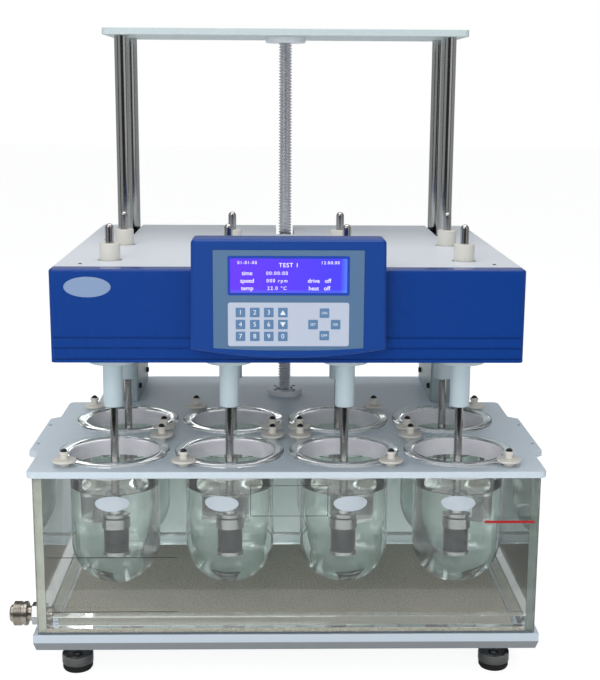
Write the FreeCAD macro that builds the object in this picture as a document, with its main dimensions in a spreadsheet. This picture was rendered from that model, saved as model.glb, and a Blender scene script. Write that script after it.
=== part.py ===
"""Eight-vessel tablet dissolution tester.

X runs along the rows of vessels, -Y is the front, +Z is up and the bench plane is Z = 0.
Sizes are given from the machine's centre plane and from the line midway between the two
rows. Both are then moved so that the whole footprint, from the drain coupling on the left
to the tab on the right and from the panel to the top plate, is centred on the origin.
"""
import FreeCAD, Part
import math
import os

import Sketcher
from FreeCAD import Placement, Rotation, Vector

document = FreeCAD.newDocument("DissolutionTester")

# Driving dimensions, in millimetres
DIMENSIONS = {
    # grid of vessels
    "vessel_pitch": 140, "row_pitch": 148,
    # feet and base tray
    "foot_clearance": 42, "foot_x": 257, "foot_inset": 44, "foot_cup_radius": 19,
    "foot_pad_height": 8, "foot_cup_height": 15, "stud_radius": 5, "base_width": 605,
    "base_height": 20, "base_front": 153, "base_rear": 336, "base_bevel": 10, "base_taper": 3,
    "base_wall": 6, "base_top_wall": 3,
    # glass bath
    "bath_width": 594, "bath_front": 151.5, "bath_rear": 160, "bath_height": 195, "pane": 10,
    "bath_floor": 5,
    # drain on the left side
    "drain_front": 122, "drain_rise": 15, "drain_bore": 4.5, "drain_thread_radius": 8,
    "drain_nut_flats": 24, "drain_nut_length": 10, "drain_body_length": 26,
    "drain_sleeve_radius": 14.6, "drain_socket_radius": 6, "drain_socket_depth": 16,
    # vessel plate
    "plate_width": 607, "plate_front": 154.5, "plate_rear": 174.5, "plate_thickness": 8,
    "plate_corner": 8, "deck_step": 39.5, "deck_rear": 336, "tab_reach": 12.5,
    "tab_front": 65, "tab_rear": 85, "tab_slope": 10, "slot_length": 9, "slot_width": 3,
    # glass vessels
    "vessel_radius": 54, "vessel_wall": 2.6, "vessel_depth": 168, "rim_radius": 67,
    "rim_height": 5, "mouth_radius": 55, "neck_drop": 9, "rim_chamfer": 1.4,
    # hold-downs
    "hold_x": 52.5, "hold_y": 55, "hold_disc_radius": 14.5, "hold_disc": 3,
    "hold_neck_radius": 4.6, "hold_neck": 6, "hold_collar_radius": 5.7, "hold_collar": 3.4,
    # column blocks, columns and top plate
    "block_inner": 207.5, "block_width": 42, "block_front": 175, "block_rear": 325,
    "block_height": 80, "block_edge": 3, "column_x": 222, "column_front": 192,
    "column_rear": 294, "column_radius": 10, "column_length": 506, "spigot": 4,
    "top_width": 492, "top_front": 166, "top_rear": 350, "top_thickness": 9, "top_corner": 8,
    # lead screw
    "screw_y": 227, "screw_radius": 9, "top_flange_radius": 27.5, "foot_flange_radius": 25.5,
    "flange_height": 8, "bearing_hub_radius": 17, "bearing_hub_depth": 18,
    "flange_mouth_radius": 12.8, "nut_flange_radius": 22, "nut_radius": 15, "nut_flange": 8,
    "nut_length": 40, "coupling_radius": 15, "coupling_length": 34,
    # rear cabinet
    "cabinet_width": 520, "cabinet_front": 166, "cabinet_rear": 332, "cabinet_wall": 2,
    "vent_length": 70, "vent_height": 4, "vent_pitch": 10, "vent_count": 7,
    "motor_side": 60, "switch_width": 20, "switch_height": 13, "switch_pivot": 3, "switch_z": 110,
    "inlet_width": 48, "inlet_height": 28, "inlet_depth": 20,
    # drive head
    "head_gap": 130, "head_width": 539, "head_front": 155, "head_rear": 314,
    "head_height": 107, "cover_wall": 2, "cover_edge": 3, "chassis_thickness": 6,
    "slot_inner": 210, "column_slot_width": 24, "column_slot_front": 178,
    "notch_half": 12.5, "notch_front": 192, "boss_radius": 18, "boss_height": 70,
    "hub_boss_radius": 15, "hub_boss_height": 38, "cap_hole_radius": 14,
    "fascia_depth": 24, "fascia_wall": 3, "fascia_corner": 6, "fascia_edge": 3,
    "groove_height": 2, "groove_depth": 1.5, "groove_low": 4.3, "groove_middle": 16.8,
    "groove_high": 29,
    # control housing and membrane panel
    "control_width": 216, "control_flare": 1.6, "control_top": 37, "control_low": 20,
    "control_bow": 10, "control_proud": 22, "control_back": 12, "control_wall": 3,
    "control_edge": 2.5, "control_corner": 5, "membrane_width": 168, "membrane_top": 12,
    "membrane_height": 110, "membrane_bow": 3, "membrane_recess": 1.2, "membrane": 1.6,
    "membrane_corner": 5, "window_width": 130, "window_height": 38, "window_drop": 9,
    # belt drive
    "pulley_radius": 16, "pulley_flange_radius": 18, "pulley_flange": 2, "pulley_face": 12,
    "tooth_depth": 1.2, "tooth_width": 2.4, "belt_width": 11, "belt_thickness": 2,
    "motor_gap": 10.5, "motor_radius": 29, "motor_height": 38, "motor_shaft_radius": 4,
    # spindles
    "cap_radius": 12.2, "cap_height": 20, "journal_radius": 10, "shaft_radius": 5,
    "shaft_rise": 43, "sleeve_flange_radius": 30, "sleeve_flange": 16, "sleeve_radius": 12,
    "sleeve_length": 71, "sleeve_bore": 10.6, "sleeve_lip": 3,
    # baskets
    "basket_clearance": 39, "basket_radius": 11.1, "basket_collar_radius": 12.7,
    "basket_collar": 13, "basket_screen": 29, "basket_band": 4, "basket_band_radius": 12.2,
    "basket_wall": 0.8, "lid_height": 2.4,
    # fits
    "running_fit": 0.06, "seat_gap": 0.3, "hole_clearance": 0.5, "vessel_hole_clearance": 2.5,
}
TOOTH_COUNT = 20

sheet = document.addObject("Spreadsheet::Sheet", "Sizes")
for row, (alias, value) in enumerate(DIMENSIONS.items(), start=1):
    sheet.set(f"A{row}", alias.replace("_", " "))
    sheet.set(f"B{row}", str(value))
    sheet.setAlias(f"B{row}", alias)
document.recompute()


class Size:
    """A length that carries both its value and the sheet expression that gives it."""

    def __init__(self, value, text):
        self.value = float(value)
        self.text = text

    def _join(self, other, sign, value, swap=False):
        other_text = other.text if isinstance(other, Size) else repr(float(other))
        first, second = (other_text, self.text) if swap else (self.text, other_text)
        return Size(value, f"({first} {sign} {second})")

    def __add__(self, other):
        return self._join(other, "+", self.value + number(other))

    def __sub__(self, other):
        return self._join(other, "-", self.value - number(other))

    def __mul__(self, other):
        return self._join(other, "*", self.value * number(other))

    def __truediv__(self, other):
        return self._join(other, "/", self.value / number(other))

    def __radd__(self, other):
        return self._join(other, "+", number(other) + self.value, swap=True)

    def __rsub__(self, other):
        return self._join(other, "-", number(other) - self.value, swap=True)

    def __rmul__(self, other):
        return self._join(other, "*", number(other) * self.value, swap=True)

    def __neg__(self):
        return self * -1


def number(length):
    return length.value if isinstance(length, Size) else float(length)


def size(alias):
    return Size(sheet.get(alias), f"Sizes.{alias}")


def bind(thing, path, length):
    """Bind a property to the sheet; a plain number is only set."""
    if isinstance(length, Size):
        thing.setExpression(path, length.text)


# Levels, from the bench upwards
base_bottom = size("foot_clearance")
base_top = base_bottom + size("base_height")
bath_top = base_top + size("bath_height")
deck = bath_top + size("plate_thickness")
rim_top = deck + size("rim_height")
head_bottom = deck + size("head_gap")
head_top = head_bottom + size("head_height")
chassis_top = head_bottom + size("chassis_thickness")
top_plate_bottom = deck + size("column_length")
vessel_bottom = rim_top - size("vessel_depth")
basket_bottom = vessel_bottom + size("basket_clearance")
pulley_bottom = chassis_top + size("hub_boss_height") + size("seat_gap")

# Where the middle of the footprint puts the centre plane and the grid's middle line
drain_outer = size("bath_width") / 2 + size("drain_nut_length") + size("drain_body_length")
drain_outer = drain_outer + size("hole_clearance") * 2
tab_outer = size("plate_width") / 2 + size("tab_reach")
panel_front = (size("head_front") + size("control_proud") + size("membrane")
               - size("membrane_recess"))
CENTRE_X = (drain_outer - tab_outer) / 2
CENTRE_Y = (panel_front - size("top_rear")) / 2


def place(thing, x=0, y=0, z=0, angle=0):
    """Seat a sub-part: x from the machine's centre plane, y from the grid's middle line."""
    position = [CENTRE_X + x, CENTRE_Y + y, z]
    thing.Placement = Placement(Vector(*[number(part) for part in position]),
                                Rotation(Vector(0, 0, 1), angle))
    for axis, length in zip("xyz", position):
        bind(thing, f"Placement.Base.{axis}", length)
    return thing


def origin_feature(body, role):
    return next(part for part in body.Origin.OriginFeatures if part.Role == role)


def new_sketch(body, role="XY_Plane", offset=0):
    sketch = body.newObject("Sketcher::SketchObject", body.Name + "_sketch")
    sketch.AttachmentSupport = (origin_feature(body, role), [""])
    sketch.MapMode = "FlatFace"
    sketch.AttachmentOffset = Placement(Vector(0, 0, number(offset)), Rotation())
    bind(sketch, "AttachmentOffset.Base.z", offset)
    return sketch


def fix(sketch, kind, *references, length):
    """Add a dimension to a sketch and tie it to the sheet."""
    index = sketch.addConstraint(Sketcher.Constraint(kind, *references, number(length)))
    bind(sketch, f"Constraints[{index}]", length)


def fix_point(sketch, geometry, end, x=None, y=None):
    if x is not None:
        fix(sketch, "DistanceX", -1, 1, geometry, end, length=x)
    if y is not None:
        fix(sketch, "DistanceY", -1, 1, geometry, end, length=y)


def draw_outline(sketch, corners, arcs=None):
    """Draw a closed outline through corners; arcs maps a side's number to (centre x, y, way)."""
    arcs = arcs or {}
    points = [Vector(number(x), number(y), 0) for x, y in corners]
    first = sketch.GeometryCount
    sides = len(points)
    for side in range(sides):
        start, end = points[side], points[(side + 1) % sides]
        if side not in arcs:
            sketch.addGeometry(Part.LineSegment(start, end), False)
            continue
        centre = Vector(number(arcs[side][0]), number(arcs[side][1]), 0)
        turn = [math.atan2(p.y - centre.y, p.x - centre.x) for p in (start, end)]
        circle = Part.Circle(centre, Vector(0, 0, 1), (start - centre).Length)
        if arcs[side][2] == "clockwise":
            turn.reverse()
        if turn[1] <= turn[0]:
            turn[1] += 2 * math.pi
        sketch.addGeometry(Part.ArcOfCircle(circle, *turn), False)

    def ends(side):
        flipped = side in arcs and arcs[side][2] == "clockwise"
        return (2, 1) if flipped else (1, 2)

    for side in range(sides):
        following = (side + 1) % sides
        sketch.addConstraint(Sketcher.Constraint(
            "Coincident", first + side, ends(side)[1], first + following, ends(following)[0]))
    for side, (x, y) in enumerate(corners):
        previous = (side - 1) % sides
        if previous in arcs:
            # an arc's far end already lies on its circle, so one coordinate is enough
            across = abs(number(x - arcs[previous][0]))
            along = abs(number(y - arcs[previous][1]))
            x, y = (None, y) if across > along else (x, None)
        fix_point(sketch, first + side, ends(side)[0], x, y)
    for side, (x, y, _) in arcs.items():
        fix_point(sketch, first + side, 3, x, y)
    return sketch


def draw_circle(sketch, x, y, radius):
    index = sketch.addGeometry(
        Part.Circle(Vector(number(x), number(y), 0), Vector(0, 0, 1), number(radius)), False)
    fix_point(sketch, index, 3, x, y)
    fix(sketch, "Radius", index, length=radius)


def box_corners(left, right, low, high):
    return [(left, low), (right, low), (right, high), (left, high)]


def new_body(label):
    body = document.addObject("PartDesign::Body", label)
    body.Label = label
    return body


def pad(body, sketch, length, reverse=False):
    feature = body.newObject("PartDesign::Pad", body.Name + "_pad")
    feature.Profile = sketch
    feature.Length = number(length)
    bind(feature, "Length", length)
    feature.Reversed = reverse
    return feature


def pocket(body, sketch, length, reverse=False):
    """Cut a sketch into its body and make sure that material was taken away."""
    document.recompute()
    before = body.Shape.Volume
    feature = body.newObject("PartDesign::Pocket", body.Name + "_pocket")
    feature.Profile = sketch
    feature.Length = number(length)
    bind(feature, "Length", length)
    feature.Reversed = reverse
    document.recompute()
    if body.Shape.Volume >= before:
        raise ValueError(f"{feature.Label} cuts nothing from {body.Label}")
    return feature


def edge_names(shape, test):
    return [f"Edge{n}" for n, edge in enumerate(shape.Edges, start=1) if test(edge)]


def round_edges(body, test, radius):
    """Fillet the edges of the body that pass the test."""
    document.recompute()
    tip = body.Tip
    feature = body.newObject("PartDesign::Fillet", body.Name + "_round")
    feature.Base = (tip, edge_names(tip.Shape, test))
    feature.Radius = number(radius)
    bind(feature, "Radius", radius)
    return feature


def bevel_edges(body, test, width):
    """Chamfer the edges of the body that pass the test."""
    document.recompute()
    tip = body.Tip
    feature = body.newObject("PartDesign::Chamfer", body.Name + "_bevel")
    feature.Base = (tip, edge_names(tip.Shape, test))
    feature.Size = number(width)
    bind(feature, "Size", width)
    return feature


def is_vertical(edge):
    start, end = edge.Vertexes[0].Point, edge.Vertexes[-1].Point
    return abs(start.x - end.x) + abs(start.y - end.y) < 1e-6 < abs(start.z - end.z)


def turned(label, profile, arcs=None, axis="V_Axis"):
    """A body of revolution, from half of its section drawn on the XZ plane."""
    body = new_body(label)
    sketch = draw_outline(new_sketch(body, "XZ_Plane"), profile, arcs)
    feature = body.newObject("PartDesign::Revolution", label + "_turn")
    feature.Profile = sketch
    feature.ReferenceAxis = (sketch, [axis])
    feature.Angle = 360
    return body


def flat_plate(label, corners, bottom, thickness):
    body = new_body(label)
    pad(body, draw_outline(new_sketch(body, offset=bottom), corners), thickness)
    return body


def group(label, members):
    """Separate solids of one kind that share a node."""
    compound = document.addObject("Part::Compound", label)
    compound.Label = label
    compound.Links = members
    return compound


SUB_PARTS = []


def keep(thing):
    SUB_PARTS.append(thing)
    return thing


def grid_places():
    """Vessel centres, numbered along the front row and then along the rear row."""
    pitch, rows = size("vessel_pitch"), size("row_pitch")
    return [(pitch * column, rows * row) for row in (-0.5, 0.5)
            for column in (-1.5, -0.5, 0.5, 1.5)]


# Base tray: a pan with a bevelled lower edge, open underneath, with a boss over each foot
def make_base_tray():
    half, taper = size("base_width") / 2, size("base_taper")
    front, rear = -size("base_front"), size("base_rear")
    rim_bottom = base_bottom + size("base_bevel")
    body = new_body("base_tray")
    upper = draw_outline(new_sketch(body, offset=rim_bottom), box_corners(-half, half, front, rear))
    lower = draw_outline(new_sketch(body, offset=base_bottom), box_corners(
        taper - half, half - taper, front + taper, rear - taper))
    skirt = body.newObject("PartDesign::AdditiveLoft", "base_skirt")
    skirt.Profile = lower
    skirt.Sections = [upper]
    skirt.Ruled = True
    rim = draw_outline(new_sketch(body, offset=rim_bottom), box_corners(-half, half, front, rear))
    pad(body, rim, size("base_height") - size("base_bevel"))
    inset = size("base_wall") + taper
    hollow = draw_outline(new_sketch(body, offset=base_bottom), box_corners(
        inset - half, half - inset, front + inset, rear - inset))
    pocket(body, hollow, size("base_height") - size("base_top_wall"), reverse=True)
    bosses = new_sketch(body, offset=base_bottom)
    studs = new_sketch(body, offset=base_bottom)
    for x, y in foot_places():
        draw_circle(bosses, x, y, size("stud_radius") * 2.2)
        draw_circle(studs, x, y, size("stud_radius") + size("running_fit"))
    pad(body, bosses, size("base_height") - size("base_top_wall"))
    pocket(body, studs, size("base_height") - size("base_top_wall"), reverse=True)
    return keep(place(body))


def foot_places():
    inset = size("foot_inset")
    return [(side * size("foot_x"), y) for y in (inset - size("base_front"),
                                                  size("base_rear") - inset) for side in (-1, 1)]


# Levelling foot: rubber pad, domed metal cup and threaded stud
def make_feet():
    names = ["front_left", "front_right", "rear_left", "rear_right"]
    pad_top, cup = size("foot_pad_height"), size("foot_cup_radius")
    cup_top = pad_top + size("foot_cup_height")
    stud, dome = size("stud_radius"), size("foot_cup_height") / 3
    for name, (x, y) in zip(names, foot_places()):
        metal = turned(f"foot_metal_{name}", [
            (0, pad_top), (cup, pad_top), (cup, cup_top - dome), (cup * 0.55, cup_top),
            (stud * 1.5, cup_top + dome / 2), (stud * 1.5, cup_top + dome),
            (stud, cup_top + dome), (stud, base_top - size("base_top_wall") * 2),
            (0, base_top - size("base_top_wall") * 2)])
        rubber = turned(f"foot_rubber_{name}", [
            (0, 0), (cup * 0.9, 0), (cup * 0.96, pad_top * 0.3), (cup * 0.96, pad_top),
            (0, pad_top)])
        keep(place(group(f"levelling_foot_{name}", [metal, rubber]), x, y))


# Glass bath: four panes glued edge to edge round a floor sheet, each its own solid
def make_bath():
    half, pane = size("bath_width") / 2, size("pane")
    front, rear = -size("bath_front"), size("bath_rear")
    rise = size("bath_height")
    panes = {
        "front_pane": box_corners(-half, half, front, front + pane),
        "rear_pane": box_corners(-half, half, rear - pane, rear),
        "left_pane": box_corners(-half, pane - half, front + pane, rear - pane),
        "right_pane": box_corners(half - pane, half, front + pane, rear - pane),
    }
    bodies = {name: flat_plate(name, corners, base_top, rise) for name, corners in panes.items()}
    hole = new_sketch(bodies["left_pane"], "YZ_Plane", -half)
    draw_circle(hole, drain_y, drain_z, size("drain_thread_radius") + size("hole_clearance"))
    pocket(bodies["left_pane"], hole, pane, reverse=True)
    floor = flat_plate("bath_floor", box_corners(
        pane - half, half - pane, front + pane, rear - pane), base_top, size("bath_floor"))
    keep(place(group("glass_bath", [*bodies.values(), floor])))


drain_y = -size("drain_front")
drain_z = base_top + size("drain_rise")


# Drain: threaded tube through the pane, inner locknut, hex nut and quick-coupling body
def make_drain():
    half, pane = size("bath_width") / 2, size("pane")
    gap = size("hole_clearance")
    nut_outer = half + gap + size("drain_nut_length")
    thread, bore = size("drain_thread_radius"), size("drain_bore")
    socket, depth = size("drain_socket_radius"), size("drain_socket_depth")
    inner, locknut = half - pane, thread * 1.2
    body = turned("drain_fitting", [
        (-drain_outer, socket), (-drain_outer, thread * 1.12),
        (-drain_outer + 2, thread * 1.3), (-drain_outer + 4, thread * 1.3),
        (-drain_outer + 4, thread * 1.12), (-nut_outer, thread * 1.12), (-nut_outer, thread),
        (-inner, thread), (-inner, locknut), (5 - inner, locknut),
        (5 - inner, bore), (depth - drain_outer, bore), (depth - drain_outer, socket)],
        axis="H_Axis")
    hexagon = new_sketch(body, "YZ_Plane", -half - gap)
    corner = size("drain_nut_flats") / math.sqrt(3)
    turns = [(math.cos(math.radians(a)), math.sin(math.radians(a))) for a in range(30, 390, 60)]
    draw_outline(hexagon, [(corner * c, corner * s) for c, s in turns])
    draw_circle(hexagon, 0, 0, thread - 0.5)
    pad(body, hexagon, size("drain_nut_length"), reverse=True)
    keep(place(body, 0, drain_y, drain_z))
    barrel, lip = size("drain_sleeve_radius"), thread * 1.12 + size("running_fit")
    start, stop = -drain_outer + 4 + size("seat_gap"), -nut_outer - 5
    waist = (stop - start) / 3
    sleeve = turned("drain_coupling_sleeve", [
        (start, lip), (start, barrel - 1.5), (start + 1.5, barrel), (start + waist, barrel),
        (start + waist, barrel - 1.2), (stop - waist, barrel - 1.2), (stop - waist, barrel),
        (stop - 1, barrel), (stop, barrel - 1), (stop, lip)], axis="H_Axis")
    keep(place(sleeve, 0, drain_y, drain_z))


# Vessel plate: wide over the bath, narrower deck behind it, slotted tab on each side
def make_vessel_plate():
    half = size("plate_width") / 2
    deck_half = half - size("deck_step")
    front, rear, deck_rear = -size("plate_front"), size("plate_rear"), size("deck_rear")
    tab, slope = half + size("tab_reach"), size("tab_slope")
    tab_front, tab_rear = -size("tab_front"), size("tab_rear")
    right = [(half, front), (half, tab_front - slope), (tab, tab_front), (tab, tab_rear),
             (half, tab_rear + slope), (half, rear), (deck_half, rear), (deck_half, deck_rear)]
    left = [(-x, y) for x, y in reversed(right)]
    body = flat_plate("vessel_plate", left + right, bath_top, size("plate_thickness"))
    round_edges(body, lambda edge: is_vertical(edge) and
                abs(edge.Vertexes[0].X) < number(half) + 0.1 and
                not number(tab_front - slope) - 1 < edge.Vertexes[0].Y < number(tab_rear + slope) + 1
                and abs(abs(edge.Vertexes[0].X) - number(deck_half)) + abs(
                    edge.Vertexes[0].Y - number(rear)) > 1, size("plate_corner"))
    holes = new_sketch(body, offset=deck)
    for x, y in grid_places():
        draw_circle(holes, x, y, size("vessel_radius") + size("vessel_hole_clearance"))
    draw_circle(holes, 0, size("screw_y"), size("bearing_hub_radius") + size("hole_clearance") / 2)
    slot, width = size("slot_length"), size("slot_width")
    for side in (-1, 1):
        for y in (tab_front + slot * 3.5, tab_rear - slot * 3.5):
            x = side * (tab - width * 2)
            draw_outline(holes, box_corners(x - width / 2, x + width / 2, y - slot / 2, y + slot / 2))
    pocket(body, holes, size("plate_thickness"))
    keep(place(body))


# Glass vessel: round bottom, straight wall, neck flaring into a ground flange
def make_vessels():
    outer, wall = size("vessel_radius"), size("vessel_wall")
    inner, mouth, rim = outer - wall, size("mouth_radius"), size("rim_radius")
    centre, bevel = vessel_bottom + outer, size("rim_chamfer")
    shoulder, neck = deck - size("neck_drop"), size("vessel_hole_clearance")
    profile = [
        (0, vessel_bottom), (outer, centre), (outer, shoulder), (outer + neck - 1, deck - 1.5),
        (outer + neck - 0.5, deck), (rim - bevel, deck), (rim, deck + bevel),
        (rim, rim_top - bevel), (rim - bevel, rim_top), (mouth + bevel, rim_top),
        (mouth, rim_top - bevel), (inner, shoulder), (inner, centre), (0, vessel_bottom + wall)]
    arcs = {0: (0, centre, "anticlockwise"), 12: (0, centre, "clockwise")}
    for n, (x, y) in enumerate(grid_places(), start=1):
        keep(place(turned(f"vessel_{n}", profile, arcs), x, y))


# Hold-down: a disc that bears on the vessel's flange, with a neck and a stepped collar
def make_hold_downs():
    disc, neck = size("hold_disc_radius"), size("hold_neck_radius")
    collar, seat = size("hold_collar_radius"), rim_top
    disc_top = seat + size("hold_disc")
    neck_top = disc_top + size("hold_neck")
    top = neck_top + size("hold_collar")
    profile = [
        (0, deck), (neck * 1.3, deck), (neck * 1.3, seat), (disc - 1, seat), (disc, seat + 1),
        (disc, disc_top - 0.6), (disc - 0.6, disc_top), (neck, disc_top), (neck, neck_top),
        (collar, neck_top + 1), (collar, top), (collar * 0.72, top), (collar * 0.72, top - 0.8),
        (0, top - 0.8)]
    members = []
    for n, (x, y) in enumerate(grid_places(), start=1):
        lean = 1 if x.value * y.value > 0 else -1
        for side in (-1, 1):
            member = turned(f"hold_down_{n}_{'a' if side < 0 else 'b'}", profile)
            offset_x, offset_y = size("hold_x") * side, size("hold_y") * (side * lean)
            members.append(place_within_group(member, x + offset_x, y + offset_y))
    keep(place(group("vessel_hold_downs", members)))


def place_within_group(body, x=0, y=0, z=0):
    """Place a solid inside its group, whose own placement carries the centre plane."""
    body.Placement = Placement(Vector(number(x), number(y), number(z)), Rotation())
    for axis, length in zip("xyz", (x, y, z)):
        bind(body, f"Placement.Base.{axis}", length)
    return body


# Column blocks, columns and top plate
def make_frame():
    inner, width = size("block_inner"), size("block_width")
    front, rear, rise = size("block_front"), size("block_rear"), size("block_height")
    blocks = []
    for name, side in (("left", -1), ("right", 1)):
        near, far = side * inner, side * (inner + width)
        low, high = (far, near) if side < 0 else (near, far)
        body = flat_plate(f"block_{name}", box_corners(low, high, front, rear), deck, rise)
        round_edges(body, is_vertical, size("block_edge"))
        bores = new_sketch(body, offset=deck + rise)
        for y in (size("column_front"), size("column_rear")):
            draw_circle(bores, side * size("column_x"), y, size("column_radius"))
        pocket(body, bores, rise)
        blocks.append(body)
    keep(place(group("column_blocks", blocks)))

    columns = []
    for name, side, y in (("front_left", -1, "column_front"), ("front_right", 1, "column_front"),
                          ("rear_left", -1, "column_rear"), ("rear_right", 1, "column_rear")):
        radius = size("column_radius")
        top = top_plate_bottom + size("spigot")
        column = turned(f"column_{name}", [
            (0, deck), (radius, deck), (radius, top_plate_bottom), (radius * 0.7, top_plate_bottom),
            (radius * 0.7, top), (0, top)])
        columns.append(place_within_group(column, side * size("column_x"), size(y)))
    keep(place(group("columns", columns)))

    half = size("top_width") / 2
    plate = flat_plate("top_plate", box_corners(
        -half, half, size("top_front"), size("top_rear")), top_plate_bottom, size("top_thickness"))
    round_edges(plate, is_vertical, size("top_corner"))
    spigots = new_sketch(plate, offset=top_plate_bottom)
    for side in (-1, 1):
        for y in (size("column_front"), size("column_rear")):
            draw_circle(spigots, side * size("column_x"), y, size("column_radius") * 0.7)
    pocket(plate, spigots, size("spigot"), reverse=True)
    keep(place(plate))


# Lead screw, its two bearing flanges and the nut that the head hangs on
def make_lift():
    screw, fit = size("screw_radius"), size("running_fit")
    flange, top_radius = size("flange_height"), size("top_flange_radius")
    top_bearing = turned("top_bearing", [
        (screw + fit, top_plate_bottom - flange), (top_radius - 1, top_plate_bottom - flange),
        (top_radius, top_plate_bottom - flange + 1), (top_radius, top_plate_bottom),
        (screw + fit, top_plate_bottom)])
    hub, mouth, foot = (size("bearing_hub_radius"), size("flange_mouth_radius"),
                        size("foot_flange_radius"))
    foot_bearing = turned("foot_bearing", [
        (screw + fit, deck - size("bearing_hub_depth")), (hub, deck - size("bearing_hub_depth")),
        (hub, deck), (foot, deck), (foot, deck + flange - 1), (foot - 1, deck + flange),
        (mouth, deck + flange), (mouth, deck + 2), (screw + fit, deck + 2)])
    members = [place_within_group(part, 0, size("screw_y")) for part in (top_bearing, foot_bearing)]
    keep(place(group("screw_bearings", members)))

    grip = deck - size("bearing_hub_depth") - size("seat_gap")
    coupling, length = size("coupling_radius"), size("coupling_length")
    keep(place(turned("lead_screw", [
        (0, grip - length), (coupling, grip - length), (coupling, grip), (screw, grip),
        (screw, top_plate_bottom - size("seat_gap")), (0, top_plate_bottom - size("seat_gap"))]),
        0, size("screw_y")))

    nut, nut_flange = size("nut_radius"), size("nut_flange_radius")
    nut_bore = screw + size("seat_gap")
    keep(place(turned("lead_nut", [
        (nut_bore, head_bottom), (nut, head_bottom), (nut, chassis_top), (nut_flange, chassis_top),
        (nut_flange, chassis_top + size("nut_flange")), (nut, chassis_top + size("nut_flange")),
        (nut, head_bottom + size("nut_length")), (nut_bore, head_bottom + size("nut_length"))]),
        0, size("screw_y")))

    side = size("motor_side") / 2
    motor_top = grip - length - size("seat_gap")
    motor = flat_plate("lift_gearmotor", box_corners(-side, side, -side, side), base_top
                       + size("cabinet_wall"), motor_top - base_top - size("cabinet_wall"))
    round_edges(motor, is_vertical, side / 6)
    keep(place(motor, 0, size("screw_y")))


# Rear cabinet: open-topped sheet box under the deck, with vents, switch and inlet at the back
def make_cabinet():
    half, wall = size("cabinet_width") / 2, size("cabinet_wall")
    front, rear = size("cabinet_front"), size("cabinet_rear")
    body = flat_plate("rear_cabinet", box_corners(-half, half, front, rear), base_top,
                      size("bath_height"))
    round_edges(body, is_vertical, wall * 2)
    hollow = draw_outline(new_sketch(body, offset=bath_top), box_corners(
        wall - half, half - wall, front + wall, rear - wall))
    pocket(body, hollow, size("bath_height") - wall)
    inlet_x, switch_z = half * 0.72, size("switch_z")
    well = new_sketch(body, "XZ_Plane", -rear)
    pad(body, draw_outline(well, frame_corners(inlet_x, switch_z, "inlet", wall * 2)),
        size("inlet_depth"))
    openings = new_sketch(body, "XZ_Plane", -rear)
    length, pitch = size("vent_length"), size("vent_pitch")
    for row in range(int(number(size("vent_count")))):
        low = bath_top - pitch * (row + 2)
        for side in (-1, 1):
            middle = side * half * 0.6
            draw_outline(openings, box_corners(middle - length / 2, middle + length / 2, low,
                                               low + size("vent_height")))
    draw_outline(openings, frame_corners(
        half * 0.4, switch_z, "switch", size("hole_clearance") * 4))
    pocket(body, openings, wall, reverse=True)
    inlet = new_sketch(body, "XZ_Plane", -rear)
    draw_outline(inlet, frame_corners(inlet_x, switch_z, "inlet", 0))
    pocket(body, inlet, size("inlet_depth") - wall, reverse=True)
    return keep(place(body))


def frame_corners(x, z, name, margin):
    width, height = size(f"{name}_width") + margin, size(f"{name}_height") + margin
    return box_corners(x - width / 2, x + width / 2, z - height / 2, z + height / 2)


# Mains rocker: a wedge-faced key with a round barrel behind it, on which it tips in the wall
def make_power_switch():
    half, wall = size("cabinet_width") / 2, size("cabinet_wall")
    reach, width, proud = size("switch_height") / 2, size("switch_width"), wall * 1.2
    body = new_body("power_switch")
    rear = size("cabinet_rear")
    profile = [(rear - wall * 2, -reach), (rear + proud, -reach), (rear + wall / 2, 0),
               (rear + wall / 2, reach), (rear - wall * 2, reach)]
    pad(body, draw_outline(new_sketch(body, "YZ_Plane", -width / 2), profile), width)
    barrel = new_sketch(body, "YZ_Plane", -width / 2)
    draw_circle(barrel, rear - wall * 1.5, 0, size("switch_pivot"))
    pad(body, barrel, width)
    keep(place(body, half * 0.4, 0, size("switch_z")))


# Chassis plate of the head, with guide bosses on the columns and bearing bosses for the hubs
def make_chassis():
    half = size("head_width") / 2 - size("fascia_wall") - size("seat_gap")
    front = size("fascia_wall") + size("seat_gap") - size("head_front")
    rear = size("head_rear") - size("cover_wall") - size("seat_gap")
    fit = size("running_fit")
    body = flat_plate("head_chassis", box_corners(-half, half, front, rear), head_bottom,
                      size("chassis_thickness"))
    guide_bosses, hub_bosses = new_sketch(body, offset=chassis_top), new_sketch(body, offset=chassis_top)
    bores = new_sketch(body, offset=chassis_top + size("boss_height"))
    for side in (-1, 1):
        for y in (size("column_front"), size("column_rear")):
            draw_circle(guide_bosses, side * size("column_x"), y, size("boss_radius") - 1)
            draw_circle(bores, side * size("column_x"), y, size("column_radius") + fit)
    for x, y in grid_places():
        draw_circle(hub_bosses, x, y, size("hub_boss_radius"))
        draw_circle(bores, x, y, size("journal_radius") + fit)
    draw_circle(bores, 0, size("screw_y"), size("nut_radius") + size("hole_clearance") / 2)
    pad(body, guide_bosses, size("boss_height"))
    pad(body, hub_bosses, size("hub_boss_height"))
    pocket(body, bores, size("boss_height") + size("chassis_thickness"))
    keep(place(body))


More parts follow.
